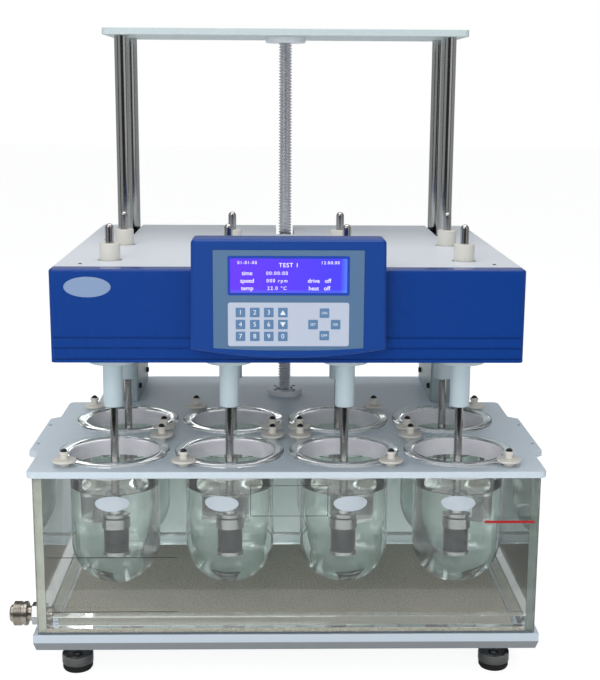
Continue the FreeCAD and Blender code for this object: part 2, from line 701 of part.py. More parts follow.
# Head cover: bent sheet, open below and in front, slotted from behind for columns and screw
def make_cover():
    half, wall = size("head_width") / 2, size("cover_wall")
    front = size("fascia_depth") - size("head_front")
    rear, rise = size("head_rear"), size("head_height")
    body = flat_plate("head_cover", box_corners(-half, half, front, rear), head_bottom, rise)
    hollow = draw_outline(new_sketch(body, offset=head_bottom), box_corners(
        wall - half, half - wall, front, rear - wall))
    top_edges = number(head_top)
    round_edges(body, lambda edge: edge.BoundBox.ZMin > top_edges - 0.1 and
                edge.BoundBox.YMax > number(front) + 1, size("cover_edge"))
    pocket(body, hollow, rise - wall, reverse=True)
    openings = new_sketch(body, offset=head_top)
    inner, width = size("slot_inner"), size("column_slot_width")
    for side in (-1, 1):
        near, far = side * inner, side * (inner + width)
        low, high = (far, near) if side < 0 else (near, far)
        draw_outline(openings, box_corners(low, high, size("column_slot_front"), rear + wall))
    notch = size("notch_half")
    draw_outline(openings, box_corners(-notch, notch, size("notch_front"), rear + wall))
    pocket(body, openings, rise)
    caps = new_sketch(body, offset=head_top)
    for x, y in grid_places():
        draw_circle(caps, x, y, size("cap_hole_radius"))
    pocket(body, caps, wall * 2)
    keep(place(body))


# Fascia: blue moulding over the head's front, with three grooves along its lower part
def make_fascia():
    half, wall = size("head_width") / 2, size("fascia_wall")
    front, depth, rise = -size("head_front"), size("fascia_depth"), size("head_height")
    back = front + depth - size("seat_gap")
    body = flat_plate("front_fascia", box_corners(-half, half, front, back), head_bottom, rise)
    round_edges(body, lambda edge: is_vertical(edge) and edge.BoundBox.YMax < number(front) + 1,
                size("fascia_corner"))
    round_edges(body, lambda edge: edge.BoundBox.ZMin > number(head_top) - 0.1 and
                edge.BoundBox.YMax < number(front) + number(size("fascia_corner")) + 0.5,
                size("fascia_edge"))
    hollow = draw_outline(new_sketch(body, offset=head_bottom), box_corners(
        wall - half, half - wall, front + wall, back))
    pocket(body, hollow, rise - wall, reverse=True)
    grooves = new_sketch(body, "XZ_Plane", size("head_front"))
    for level in ("groove_low", "groove_middle", "groove_high"):
        middle = head_bottom + size(level)
        draw_outline(grooves, box_corners(-half, half, middle - size("groove_height") / 2,
                                          middle + size("groove_height") / 2))
    pocket(body, grooves, size("groove_depth"))
    keep(place(body))


def bowed_outline(sketch, half, flare, top, low, bow):
    """Straight top and sides, and a lower edge bowed downwards on one shallow arc."""
    reach = half + flare
    sagitta = number(bow)
    radius = (number(reach) ** 2 + sagitta ** 2) / (2 * sagitta)
    # the centre stands above the lower corners by (reach^2 - bow^2) / (2 bow)
    rise = (reach * reach - bow * bow) / (bow * 2)
    draw_outline(sketch, [(-reach, low), (reach, low), (half, top), (-half, top)],
                 {0: (0, low + rise, "anticlockwise")})
    return radius


# Control housing: stands proud of the fascia and hooks back over the head's top edge
def make_control_housing():
    half, flare, wall = size("control_width") / 2, size("control_flare"), size("control_wall")
    top, low = head_top + size("control_top"), head_bottom + size("control_low")
    proud, front = size("control_proud"), size("head_front") + size("control_proud")
    body = new_body("control_housing")
    sketch = new_sketch(body, "XZ_Plane", front)
    bowed_outline(sketch, half, flare, top, low, size("control_bow"))
    pad(body, sketch, proud, reverse=True)
    round_edges(body, lambda edge: edge.BoundBox.ZMin > number(top) - 0.1 and
                edge.BoundBox.XLength < 0.1, size("control_corner"))
    bevel_edges(body, lambda edge: edge.BoundBox.YMax < -number(front) + 0.1, size("control_edge"))
    corner = size("control_corner")
    hook = draw_outline(new_sketch(body, "XZ_Plane", size("head_front")), [
        (-half, head_top + size("seat_gap")), (half, head_top + size("seat_gap")),
        (half, top - corner), (half - corner, top), (corner - half, top), (-half, top - corner)],
        {2: (half - corner, top - corner, "anticlockwise"),
         4: (corner - half, top - corner, "anticlockwise")})
    pad(body, hook, size("control_back"), reverse=True)
    hollow = new_sketch(body, "XZ_Plane", size("head_front"))
    bowed_outline(hollow, half - wall, flare, head_top - wall, low + wall, size("control_bow"))
    pocket(body, hollow, proud - wall * 2, reverse=True)
    recess = new_sketch(body, "XZ_Plane", front)
    membrane_outline(recess, size("hole_clearance") / 2)
    pocket(body, recess, size("membrane_recess"))
    keep(place(body))


def membrane_outline(sketch, margin):
    top = head_top + size("control_top") - size("membrane_top") + margin
    low = top - size("membrane_height") - margin * 2
    bowed_outline(sketch, size("membrane_width") / 2 + margin, margin * 0, top, low,
                  size("membrane_bow"))


# Membrane panel: one printed film on a backing plate, with the display's window cut in it
def make_membrane_panel():
    front = size("head_front") + size("control_proud") - size("membrane_recess")
    body = new_body("membrane_panel")
    sketch = new_sketch(body, "XZ_Plane", front)
    membrane_outline(sketch, size("membrane_recess") * 0)
    pad(body, sketch, size("membrane"))
    round_edges(body, lambda edge: abs(edge.BoundBox.YLength - number(size("membrane"))) < 0.01
                and edge.BoundBox.XLength + edge.BoundBox.ZLength < 0.1, size("membrane_corner"))
    top = head_top + size("control_top") - size("membrane_top") - size("window_drop")
    half = size("window_width") / 2
    window = draw_outline(new_sketch(body, "XZ_Plane", front + size("membrane")), box_corners(
        -half, half, top - size("window_height"), top))
    pocket(body, window, size("membrane") * 0.75)
    keep(place(body))


# Guide sleeves under the head: disc flange and a slim tube with a bush at its lower lip
def make_guide_sleeves():
    flange, tube = size("sleeve_flange_radius"), size("sleeve_radius")
    shoulder = head_bottom - size("sleeve_flange")
    bottom, lip = head_bottom - size("sleeve_length"), size("sleeve_lip")
    bush, bore = size("shaft_radius") + size("running_fit"), size("sleeve_bore")
    members = []
    for n, (x, y) in enumerate(grid_places(), start=1):
        sleeve = turned(f"sleeve_{n}", [
            (bush, bottom), (tube - 1, bottom), (tube, bottom + 1.5), (tube, shoulder),
            (flange - 2, shoulder), (flange, shoulder + 2), (flange, head_bottom),
            (bore, head_bottom), (bore, bottom + lip * 2), (bush, bottom + lip * 2)])
        members.append(place_within_group(sleeve, x, y))
    keep(place(group("guide_sleeves", members)))


def pulley_profile(bore, journal_bottom, journal, top, hub):
    """Half section of a flanged pulley between a journal below and a hub above."""
    face, rim, land = size("pulley_radius"), size("pulley_flange_radius"), size("pulley_flange")
    low = pulley_bottom + land
    high = low + size("pulley_face")
    return [
        (bore, journal_bottom), (journal, journal_bottom), (journal, pulley_bottom),
        (rim, pulley_bottom), (rim, low), (face, low), (face, high), (rim, high),
        (rim, high + land), (hub, high + land), (hub, top - 1), (hub - 1, top), (bore, top)]


def cut_teeth(body):
    """Cut one tooth space into the pulley's face and repeat it round the axis."""
    face, depth, width = size("pulley_radius"), size("tooth_depth"), size("tooth_width")
    low = pulley_bottom + size("pulley_flange")
    gap = draw_outline(new_sketch(body, offset=low), [
        (face - depth, -width * 0.3), (face + depth, -width * 0.7),
        (face + depth, width * 0.7), (face - depth, width * 0.3)])
    tooth_gap = pocket(body, gap, size("pulley_face"), reverse=True)
    ring = body.newObject("PartDesign::PolarPattern", body.Name + "_teeth")
    ring.Originals = [tooth_gap]
    ring.Axis = (origin_feature(body, "Z_Axis"), [""])
    ring.Angle = 360
    ring.Occurrences = TOOTH_COUNT
    body.Tip = ring
    return ring


# Drive hub: ivory cap above the cover, toothed pulley inside, journal in the chassis boss
def make_drive_hubs():
    journal_bottom = head_bottom + size("seat_gap")
    bore = size("shaft_radius") + size("running_fit")
    profile = pulley_profile(bore, journal_bottom, size("journal_radius"),
                             head_top + size("cap_height"), size("cap_radius"))
    for n, (x, y) in enumerate(grid_places(), start=1):
        hub = turned(f"drive_hub_{n}", profile)
        cut_teeth(hub)
        keep(place(hub, x, y))


# Drive motor, its pulley and the belt round all eight hubs
def make_belt_drive():
    radius, rise = size("motor_radius"), size("motor_height")
    motor_x = size("head_width") / 2 - size("cover_wall") - size("motor_gap") - radius
    shaft, fit = size("motor_shaft_radius"), size("running_fit")
    top = chassis_top + rise
    keep(place(turned("drive_motor", [
        (0, chassis_top), (radius, chassis_top), (radius, top - 6), (radius - 2, top - 6),
        (radius - 2, top), (shaft + fit, top), (shaft + fit, top - 12), (0, top - 12)]),
        motor_x, 0))
    pulley = turned("motor_pulley", pulley_profile(0, top - 12 + size("seat_gap"), shaft,
                                                   pulley_bottom + size("pulley_face") * 2,
                                                   size("journal_radius")))
    cut_teeth(pulley)
    keep(place(pulley, motor_x, 0))

    half_x, half_y = 1.5 * number(size("vessel_pitch")), number(size("row_pitch")) / 2
    level = number(pulley_bottom + size("pulley_flange") + size("seat_gap"))
    run = [(-half_x, -half_y), (half_x, -half_y), (number(motor_x), 0),
           (half_x, half_y), (-half_x, half_y)]
    loop = Part.makePolygon([Vector(x, y, level) for x, y in run + run[:1]])
    pitch_line = number(size("pulley_radius") + size("seat_gap"))
    inner = loop.makeOffset2D(pitch_line, 0)
    outer = loop.makeOffset2D(pitch_line + number(size("belt_thickness")), 0)
    belt = document.addObject("Part::Feature", "drive_belt")
    belt.Label = "drive_belt"
    ring = Part.Face(outer).cut(Part.Face(inner))
    belt.Shape = ring.extrude(Vector(0, 0, number(size("belt_width"))))
    keep(place(belt))


# Stirring shaft: round top, plain rod, lid that the basket clips on to
def make_shafts():
    rod, top = size("shaft_radius"), head_top + size("shaft_rise")
    collar, lid = size("basket_collar_radius"), size("lid_height")
    rim = basket_bottom + size("basket_band") + size("basket_screen") + size("basket_collar")
    plug = collar - size("basket_wall") * 2
    profile = [
        (0, rim - lid), (plug, rim - lid), (plug, rim), (collar, rim), (collar, rim + lid),
        (rod * 1.4, rim + lid * 1.5), (rod * 1.4, rim + lid * 3), (rod, rim + lid * 3),
        (rod, top - rod), (0, top)]
    for n, (x, y) in enumerate(grid_places(), start=1):
        keep(place(turned(f"stirring_shaft_{n}", profile, {8: (0, top - rod, "anticlockwise")}), x, y))


# Basket: screen tube with a deep collar, a bottom band and a screen floor
def make_baskets():
    screen, collar = size("basket_radius"), size("basket_collar_radius")
    band, wall = size("basket_band_radius"), size("basket_wall")
    band_top = basket_bottom + size("basket_band")
    collar_bottom = band_top + size("basket_screen")
    rim = collar_bottom + size("basket_collar")
    inside = collar - wall * 1.8
    profile = [
        (0, basket_bottom), (band, basket_bottom), (band, band_top), (screen, band_top),
        (screen, collar_bottom), (collar, collar_bottom), (collar, rim), (inside, rim),
        (inside, collar_bottom + wall), (screen - wall, collar_bottom + wall),
        (screen - wall, basket_bottom + wall), (0, basket_bottom + wall)]
    for n, (x, y) in enumerate(grid_places(), start=1):
        keep(place(turned(f"basket_{n}", profile), x, y))


def check_and_export():
    document.recompute()
    for thing in document.Objects:
        if {"Invalid", "Error"} & set(thing.State):
            raise ValueError(f"{thing.Label} failed: {thing.State}")
    os.makedirs("parts", exist_ok=True)
    for part in SUB_PARTS:
        if part.Shape.isNull() or not part.Shape.isValid() or not part.Shape.Solids:
            raise ValueError(f"{part.Label} has no valid solid")
    for part in SUB_PARTS:
        part.Shape.exportStep(f"parts/{part.Label}.step")
    print(len(SUB_PARTS), "nodes,", sum(len(part.Shape.Solids) for part in SUB_PARTS), "solids")


make_base_tray()
make_feet()
make_bath()
make_drain()
make_vessel_plate()
make_vessels()
make_hold_downs()
make_frame()
make_lift()
make_cabinet()
make_power_switch()
make_chassis()
make_cover()
make_fascia()
make_control_housing()
make_membrane_panel()
make_guide_sleeves()
make_drive_hubs()
make_belt_drive()
make_shafts()
make_baskets()
check_and_export()
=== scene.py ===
# %% [markdown]
# # A bench tester for tablets, dressed in Blender
#
# The instrument stirs tablets in eight glass vessels. They hang in a glass water bath, and a
# drive head above them turns eight shafts with small baskets. The solids come from the CAD
# model. This lesson gives them their finishes, and makes anew the pieces whose looks need
# more than the solids hold: glass, liquid, thread, screens, film keys and screws.

import math

import bmesh
import bpy
from mathutils import Matrix, Vector


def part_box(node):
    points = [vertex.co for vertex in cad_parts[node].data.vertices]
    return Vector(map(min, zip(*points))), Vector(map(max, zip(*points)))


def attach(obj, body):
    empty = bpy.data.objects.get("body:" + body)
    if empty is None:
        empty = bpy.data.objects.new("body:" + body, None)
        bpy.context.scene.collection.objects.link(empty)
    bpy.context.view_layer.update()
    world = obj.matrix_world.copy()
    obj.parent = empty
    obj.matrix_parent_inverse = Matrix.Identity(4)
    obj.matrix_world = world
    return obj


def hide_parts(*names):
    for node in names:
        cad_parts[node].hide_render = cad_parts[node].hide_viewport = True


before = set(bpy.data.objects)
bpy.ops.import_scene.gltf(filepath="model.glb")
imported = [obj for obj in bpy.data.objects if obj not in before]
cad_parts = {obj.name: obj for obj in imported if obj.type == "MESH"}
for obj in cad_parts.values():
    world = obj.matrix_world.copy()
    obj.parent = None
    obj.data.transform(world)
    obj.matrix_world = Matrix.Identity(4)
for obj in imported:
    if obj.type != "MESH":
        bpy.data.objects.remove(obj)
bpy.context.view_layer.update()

# %% [markdown]
# ## Where things are
#
# A machine drawing is read from its own centre lines, so every place below is given in
# millimetres from the machine's centre plane, the line midway between the two rows of
# vessels and the bench. The tray is symmetric across X and the plate's front edge is
# 154.5 mm before the rows' middle, which is all it takes to find those lines in the frame.

# %% Centre lines and levels
MM = 0.001
tray_low, tray_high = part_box("base_tray")
plate_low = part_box("vessel_plate")[0]
PLATE_FRONT = -154.5
CENTRE = Vector(((tray_low.x + tray_high.x) / 2, plate_low.y - PLATE_FRONT * MM, 0))


def spot(x, y, z):
    """The point at x, y and z millimetres from the machine's own centre lines."""
    return CENTRE + Vector((x, y, z)) * MM


COLUMN_PITCH, HALF_ROW_PITCH = 140, 74
GRID = [(COLUMN_PITCH * column, HALF_ROW_PITCH * row)
        for row in (-1, 1) for column in (-1.5, -0.5, 0.5, 1.5)]
TRAY_TOP, DECK, HEAD_TOP, TOP_PLATE = 62, 265, 502, 771
COLUMNS = [(222 * side, y) for side in (-1, 1) for y in (192, 294)]
SCREW_Y = 227
print("centre lines at", [round(v, 4) for v in CENTRE])

# %% [markdown]
# ## The camera
#
# The photograph was taken from a little above the head, almost square on. The place and the
# turn were worked out from the grid of vessels and the edges of the head. The lens follows
# from the picture's width of 600 pixels, on a sensor 36 mm wide.

# %% Camera
YAW, PITCH, ROLL = math.radians(1.35), math.radians(11.45), math.radians(0.34)
FOCAL_PIXELS, PICTURE_WIDTH, SENSOR = 1241.03, 600, 36
ahead = Vector((math.sin(YAW) * math.cos(PITCH), math.cos(YAW) * math.cos(PITCH),
                -math.sin(PITCH)))
level = Vector((math.cos(YAW), -math.sin(YAW), 0))
upright = level.cross(ahead)
right = level * math.cos(ROLL) + upright * math.sin(ROLL)
up = upright * math.cos(ROLL) - level * math.sin(ROLL)
camera = bpy.data.objects.new("camera", bpy.data.cameras.new("camera"))
bpy.context.scene.collection.objects.link(camera)
camera.matrix_world = Matrix.Translation(spot(-19.16, -1536.54, 701.54)) @ Matrix(
    (right, up, -ahead)).transposed().to_4x4()
camera.data.sensor_fit = "HORIZONTAL"
camera.data.sensor_width = SENSOR
camera.data.lens = SENSOR * FOCAL_PIXELS / PICTURE_WIDTH
camera.data.clip_end = 30
bpy.context.scene.camera = camera
print("lens", round(camera.data.lens, 2), "mm")

# %% [markdown]
# ## Sums on shader sockets
#
# A finish is mostly arithmetic on noise: a mask times a colour, one minus a mask. Written
# with nodes one by one this is long, so `Value` wraps a socket and lets Python's own signs
# add the Math nodes. `Shade` holds one material and makes every other node.

# %% Values and shades
class Value:
    """A node's output that takes part in Python sums."""

    def __init__(self, shade, socket):
        self.shade = shade
        self.socket = socket

    def sum(self, operation, *terms):
        return self.shade.node("ShaderNodeMath", {"operation": operation}, terms)

    def __add__(self, other):
        return self.sum("ADD", self, other)

    def __sub__(self, other):
        return self.sum("SUBTRACT", self, other)

    def __mul__(self, other):
        return self.sum("MULTIPLY", self, other)

    __radd__ = __add__
    __rmul__ = __mul__

    def sine(self):
        return self.sum("SINE", self)

    def spread(self, low, high):
        """0 at low, 1 at high, and straight between them."""
        return self.shade.node("ShaderNodeMapRange", {"clamp": True},
                               {"Value": self, "From Min": low, "From Max": high})


class Shade:
    """One material: its Principled shader, and the one place where nodes are made."""

    def __init__(self, name):
        self.material = bpy.data.materials.new(name)
        self.material.use_nodes = True
        self.tree = self.material.node_tree
        self.skin = self.tree.nodes["Principled BSDF"]
        self.exit = self.tree.nodes["Material Output"]

    def node(self, kind, settings=None, inputs=(), output=0):
        made = self.tree.nodes.new(kind)
        for key, value in (settings or {}).items():
            setattr(made, key, value)
        pairs = inputs.items() if isinstance(inputs, dict) else enumerate(inputs)
        for key, value in pairs:
            self.feed(made.inputs[key], value)
        return Value(self, made.outputs[output])

    def feed(self, socket, value):
        if isinstance(value, Value):
            self.tree.links.new(value.socket, socket)
        else:
            socket.default_value = value

    def set(self, **values):
        """Set the Principled shader's sockets: base_color=..., roughness=..."""
        for key, value in values.items():
            name = key.replace("_", " ").title().replace("Ior", "IOR")
            self.feed(self.skin.inputs[name], value)

    def place(self, stretch=(1, 1, 1)):
        """The piece's own coordinates in metres, stretched along X, Y and Z."""
        here = self.node("ShaderNodeTexCoord", output=3)
        return self.node("ShaderNodeMapping", inputs={"Vector": here, "Scale": stretch})

    def axis(self, name):
        parts = self.node("ShaderNodeSeparateXYZ", inputs=[self.place()])
        return Value(self, parts.socket.node.outputs[name])

    def noise(self, size, detail=3, stretch=(1, 1, 1)):
        """Noise whose patches are about size millimetres across, from 0 to 1."""
        return self.node("ShaderNodeTexNoise", inputs={
            "Vector": self.place(stretch), "Scale": 1 / (size * MM), "Detail": detail})

    def mix(self, factor, first, second):
        made = self.node("ShaderNodeMix", {"data_type": "RGBA"}, output=2)
        node = made.socket.node
        self.feed(node.inputs[0], factor)
        self.feed(node.inputs[6], first)
        self.feed(node.inputs[7], second)
        return made

    def bump(self, height, depth):
        """Relief of depth millimetres from a height of 0 to 1."""
        relief = self.node("ShaderNodeBump", inputs={
            "Height": height, "Distance": depth * MM, "Strength": 1})
        self.feed(self.skin.inputs["Normal"], relief)
        return self


def paint(red, green, blue):
    """A screen's colour, from 0 to 255, made linear by the curve that screens use."""
    parts = [c / 255 for c in (red, green, blue)]
    return tuple(c / 12.92 if c <= 0.04045 else ((c + 0.055) / 1.055) ** 2.4
                 for c in parts) + (1.0,)


# %% [markdown]
# ## Enamel, plastic and metal
#
# Sprayed enamel is never flat: it has a faint mottle of a few millimetres, and a peel that
# bends reflections. Turned plastic shows fine rings. Ground steel shows rings round its
# axis, so its noise is squeezed along Z. Each maker below takes the colour and the scale,
# and lets noise move Base Color, Roughness and a Bump by small amounts.

# %% Makers of opaque finishes
def enamel(name, colour, rough=0.35, mottle=0.05, grain=6, peel=0.012):
    shade = Shade(name)
    cloud = shade.noise(grain)
    fine = shade.noise(0.7, detail=2)
    darker = tuple(c * (1 - mottle) for c in colour[:3]) + (1,)
    lighter = tuple(min(1, c * (1 + mottle)) for c in colour[:3]) + (1,)
    shade.set(base_color=shade.mix(cloud, darker, lighter),
              roughness=rough + (fine - 0.5) * 0.12 + (cloud - 0.5) * 0.08)
    return shade.bump(fine, peel)


def turned_metal(name, colour, rough=0.22, ring=0.35, streak=0.12):
    """Metal turned or ground round Z: rings finer than a millimetre, and a slow tarnish."""
    shade = Shade(name)
    rings = shade.noise(ring, detail=2, stretch=(0.03, 0.03, 1))
    cloud = shade.noise(14)
    dull = tuple(c * (1 - streak) for c in colour[:3]) + (1,)
    shade.set(base_color=shade.mix(rings * 0.6 + cloud * 0.4, dull, colour), metallic=1,
              roughness=rough + (rings - 0.5) * 0.16 + (cloud - 0.5) * 0.08)
    return shade.bump(rings, 0.004)


def moulding(name, colour, rough=0.4, grain=0.5, relief=0.01, mottle=0.04):
    shade = Shade(name)
    fine = shade.noise(grain, detail=2)
    cloud = shade.noise(9)
    darker = tuple(c * (1 - mottle) for c in colour[:3]) + (1,)
    shade.set(base_color=shade.mix(cloud, darker, colour),
              roughness=rough + (fine - 0.5) * 0.14)
    return shade.bump(fine, relief)


plate_enamel = enamel("plate_enamel", paint(200, 212, 222), rough=0.34)
tray_enamel = enamel("tray_enamel", paint(190, 202, 213), rough=0.36)
BEVEL_TOP = 52
# Painted shade: the enamel turns dark grey below the bevel's top, where the downward-facing bevel
# gets less light.
bevel_painted_shade = tray_enamel.axis("Z").spread((BEVEL_TOP + 0.6) * MM, BEVEL_TOP * MM)
tray_enamel.set(base_color=tray_enamel.mix(
    bevel_painted_shade, paint(190, 202, 213), paint(128, 133, 137)))
cover_enamel = enamel("cover_enamel", paint(208, 213, 219), rough=0.42, grain=1.2, mottle=0.035)
top_enamel = enamel("top_enamel", paint(196, 209, 211), rough=0.4)
cabinet_enamel = enamel("cabinet_enamel", paint(243, 250, 250), rough=0.45)
block_enamel = enamel("block_enamel", paint(150, 166, 170), rough=0.4)
fascia_blue = enamel("fascia_blue", paint(10, 57, 133), rough=0.2, mottle=0.08, peel=0.006)
housing_blue = enamel("housing_blue", paint(10, 61, 138), rough=0.3, grain=0.8, mottle=0.07)
for blue in (fascia_blue, housing_blue):
    blue.skin.inputs["Specular IOR Level"].default_value = 0.3
sleeve_white = enamel("sleeve_white", paint(194, 210, 217), rough=0.32, mottle=0.03)
ivory = moulding("ivory_plastic", paint(215, 212, 204), rough=0.38, relief=0.008)
white_plastic = moulding("white_plastic", paint(226, 230, 234), rough=0.42)
black_plastic = moulding("black_plastic", paint(26, 26, 28), rough=0.35)
rubber = moulding("rubber", paint(24, 24, 25), rough=0.75, grain=0.8, relief=0.05)
motor_black = enamel("motor_black", paint(30, 31, 33), rough=0.45)
column_steel = turned_metal("column_steel", paint(200, 200, 198), rough=0.13, streak=0.06)
shaft_steel = turned_metal("shaft_steel", paint(190, 188, 186), rough=0.2)
screw_steel = turned_metal("screw_steel", paint(240, 240, 244), rough=0.38)
foot_steel = turned_metal("foot_steel", paint(118, 118, 117), rough=0.24, ring=0.5)
bright_steel = turned_metal("bright_steel", paint(205, 205, 205), rough=0.16)
dark_screw = enamel("dark_screw", paint(28, 28, 31), rough=0.24)
drain_steel = turned_metal("drain_steel", paint(178, 170, 160), rough=0.3)
chassis_metal = turned_metal("chassis_metal", paint(196, 198, 202), rough=0.4, ring=1.5)
bronze = turned_metal("bronze", paint(176, 140, 86), rough=0.35)
print(len(bpy.data.materials), "finishes so far")

# %% [markdown]
# ## Glass and liquid
#
# Clear things are seen by what they bend. Each is a Principled shader with full
# transmission. A path tracer would leave the inside of a bath in its own shadow, so rays
# from the lamps pass straight through a Transparent shader, mixed in by Light Path. The
# colours are nearly white, because light passes many walls and each takes its share.

# %% Makers of clear finishes
def clear(name, colour, ior, shadow):
    shade = Shade(name)
    shade.set(base_color=colour, ior=ior, transmission_weight=1.0,
              roughness=shade.noise(22, detail=1) * 0.012)
    through = shade.node("ShaderNodeBsdfTransparent", inputs=[shadow])
    lamp_ray = shade.node("ShaderNodeLightPath", output="Is Shadow Ray")
    mixed = shade.node("ShaderNodeMixShader", inputs=[
        lamp_ray, Value(shade, shade.skin.outputs[0]), through])
    shade.feed(shade.exit.inputs["Surface"], mixed)
    return shade


bath_glass = clear("bath_glass", paint(252, 254, 254), 1.5, paint(254, 255, 255))
frost = enamel("ground_neck", paint(247, 245, 253), rough=0.6, mottle=0.03, grain=3)
frost.set(alpha=0.76)
vessel_glass = clear("vessel_glass", paint(251, 253, 252), 1.47, paint(247, 250, 249))
liquid = clear("liquid", paint(250, 252, 251), 1.33, paint(250, 252, 251))

# %% [markdown]
# ## Tools for meshes
#
# Most pieces are turned on a lathe or cut from sheet, so two makers do most of the work:
# `turned` spins half a section round an axis, and `slab` is a box whose corners and edges
# are rounded by bevels. Real edges are never sharp, so both end with a small bevel.
# `finish` turns the normals outwards, names the piece and rides it on its CAD body.
# A large face that shares smooth corners with its bevel would bend light like a lens, so
# `finish` also weighs each corner's normal by area: big faces stay optically flat.

# %% Small steps on a mesh
def new_verts(made):
    """The vertices among what an extrusion or a copy has made."""
    return [part for part in made["geom"] if isinstance(part, bmesh.types.BMVert)]


def everything(work):
    return work.verts[:] + work.edges[:] + work.faces[:]


def move(work, offset):
    bmesh.ops.translate(work, vec=offset, verts=work.verts[:])


def rotate(work, degrees, axis):
    """Rotate all of the work round one of the axes through the origin."""
    bmesh.ops.rotate(work, cent=(0, 0, 0), verts=work.verts[:],
                     matrix=Matrix.Rotation(math.radians(degrees), 3, axis))


def pour(part, work):
    """Add a finished part to the work that gathers several."""
    made = bpy.data.meshes.new("part")
    part.to_mesh(made)
    part.free()
    work.from_mesh(made)
    bpy.data.meshes.remove(made)
    return work


def into_object(work, name, shade):
    """End the work as an object of the scene with one material."""
    mesh = bpy.data.meshes.new(name)
    work.to_mesh(mesh)
    work.free()
    mesh.materials.append(shade.material)
    made = bpy.data.objects.new(name, mesh)
    bpy.context.scene.collection.objects.link(made)
    return made


# %% Makers of shapes
def soften(work, width, angle=32, segments=2):
    """Bevel the edges where faces meet at more than the angle."""
    bmesh.ops.remove_doubles(work, verts=work.verts[:], dist=1e-6)
    sharp = [edge for edge in work.edges if len(edge.link_faces) == 2
             and edge.calc_face_angle(0) > math.radians(angle)]
    if sharp and width:
        bmesh.ops.bevel(work, geom=sharp, offset=width * MM, affect="EDGES",
                        segments=segments, profile=0.5, material=-1, clamp_overlap=True)


def finish(work, name, shade, body, slot, replaces=(), smooth=38):
    bmesh.ops.remove_doubles(work, verts=work.verts[:], dist=1e-6)
    bmesh.ops.recalc_face_normals(work, faces=work.faces[:])
    piece = into_object(work, name, shade)
    mesh = piece.data
    mesh.polygons.foreach_set("use_smooth", [True] * len(mesh.polygons))
    mesh.set_sharp_from_angle(angle=math.radians(smooth))
    flatness = piece.modifiers.new("flat_faces_stay_flat", "WEIGHTED_NORMAL")
    flatness.weight = 100
    flatness.keep_sharp = True
    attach(piece, body)
    if replaces:
        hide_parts(*replaces)


def spin_section(work, section, centre, axis="Z", steps=72, closed=False):
    """Spin a section of (radius, along) points in millimetres round a line through centre."""
    along, outwards = {"Z": ((0, 0, 1), (1, 0, 0)), "X": ((1, 0, 0), (0, 0, 1)),
                       "Y": ((0, 1, 0), (1, 0, 0))}[axis]
    along, outwards = Vector(along), Vector(outwards)
    verts = [work.verts.new(centre + (outwards * r + along * a) * MM) for r, a in section]
    pairs = list(zip(verts, verts[1:] + verts[:1] if closed else verts[1:]))
    edges = [work.edges.new(pair) for pair in pairs]
    bmesh.ops.spin(work, geom=verts + edges, cent=centre, axis=along, dvec=(0, 0, 0),
                   angle=2 * math.pi, steps=steps, use_merge=True, use_duplicate=False)
    return work


def turned(name, section, centre, shade, body, slot, axis="Z", steps=72, closed=False,
           soft=0.3, replaces=(), smooth=38):
    work = spin_section(bmesh.new(), section, centre, axis, steps, closed)
    bmesh.ops.recalc_face_normals(work, faces=work.faces[:])
    soften(work, soft)
    finish(work, name, shade, body, slot, replaces, smooth)


def add_slab(work, low, high, round_axis=None, radius=0, soft=0.3, corner_segments=6):
    """Add a box from low to high; edges along round_axis get a radius, the rest a bevel."""
    box = bmesh.new()
    bmesh.ops.create_cube(box, size=1)
    low, high = Vector(low), Vector(high)
    bmesh.ops.scale(box, vec=(high - low) * MM, verts=box.verts[:])
    move(box, CENTRE + (low + high) / 2 * MM)
    if round_axis and radius:
        index = "XYZ".index(round_axis)
        corners = [edge for edge in box.edges
                   if abs((edge.verts[0].co - edge.verts[1].co).normalized()[index]) > 0.9]
        bmesh.ops.bevel(box, geom=corners, offset=radius * MM, affect="EDGES",
                        segments=corner_segments, profile=0.5, material=-1)
    soften(box, soft)
    return pour(box, work)


def slab(name, low, high, shade, body, slot, round_axis=None, radius=0, soft=0.3,
         replaces=(), corner_segments=6):
    work = add_slab(bmesh.new(), low, high, round_axis, radius, soft, corner_segments)
    finish(work, name, shade, body, slot, replaces)


def softened(node, width, shade, body, slot, segments=2, angle=32):
    """A merged copy of a CAD node with its sharp edges bevelled, in the node's place."""
    work = bmesh.new()
    work.from_mesh(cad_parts[node].data)
    bmesh.ops.remove_doubles(work, verts=work.verts[:], dist=2e-5)
    bmesh.ops.dissolve_limit(work, angle_limit=math.radians(0.5), verts=work.verts[:],
                             edges=work.edges[:], use_dissolve_boundaries=False,
                             delimit=set())
    soften(work, width, angle, segments)
    finish(work, node + "_finished", shade, body, slot, [node])


def arc(centre, radius, start, stop, steps):
    """Points of an arc in a section, from start to stop in degrees; 0 points outwards."""
    turns = [math.radians(start + (stop - start) * i / steps) for i in range(steps + 1)]
    return [(centre[0] + radius * math.cos(a), centre[1] + radius * math.sin(a))
            for a in turns]


def upright_plate(corners, half_x, half_z, thickness):
    """A thin plate that stands on edge at the origin and faces the front."""
    plate = bmesh.new()
    bmesh.ops.create_circle(plate, cap_ends=True, segments=corners, radius=1)
    bmesh.ops.scale(plate, vec=(half_x * MM, half_z * MM, 1), verts=plate.verts[:])
    whole = bmesh.ops.extrude_face_region(plate, geom=plate.faces[:])
    bmesh.ops.translate(plate, vec=(0, 0, thickness * MM), verts=new_verts(whole))
    rotate(plate, 90, "X")
    return plate


# %% [markdown]
# ## Screws and nuts
#
# Small fasteners give a machine its scale. A socket screw is a short cylinder with a
# chamfered rim and a round recess. It is repeated many times, so each has only a few dozen
# faces, and one piece holds each set.

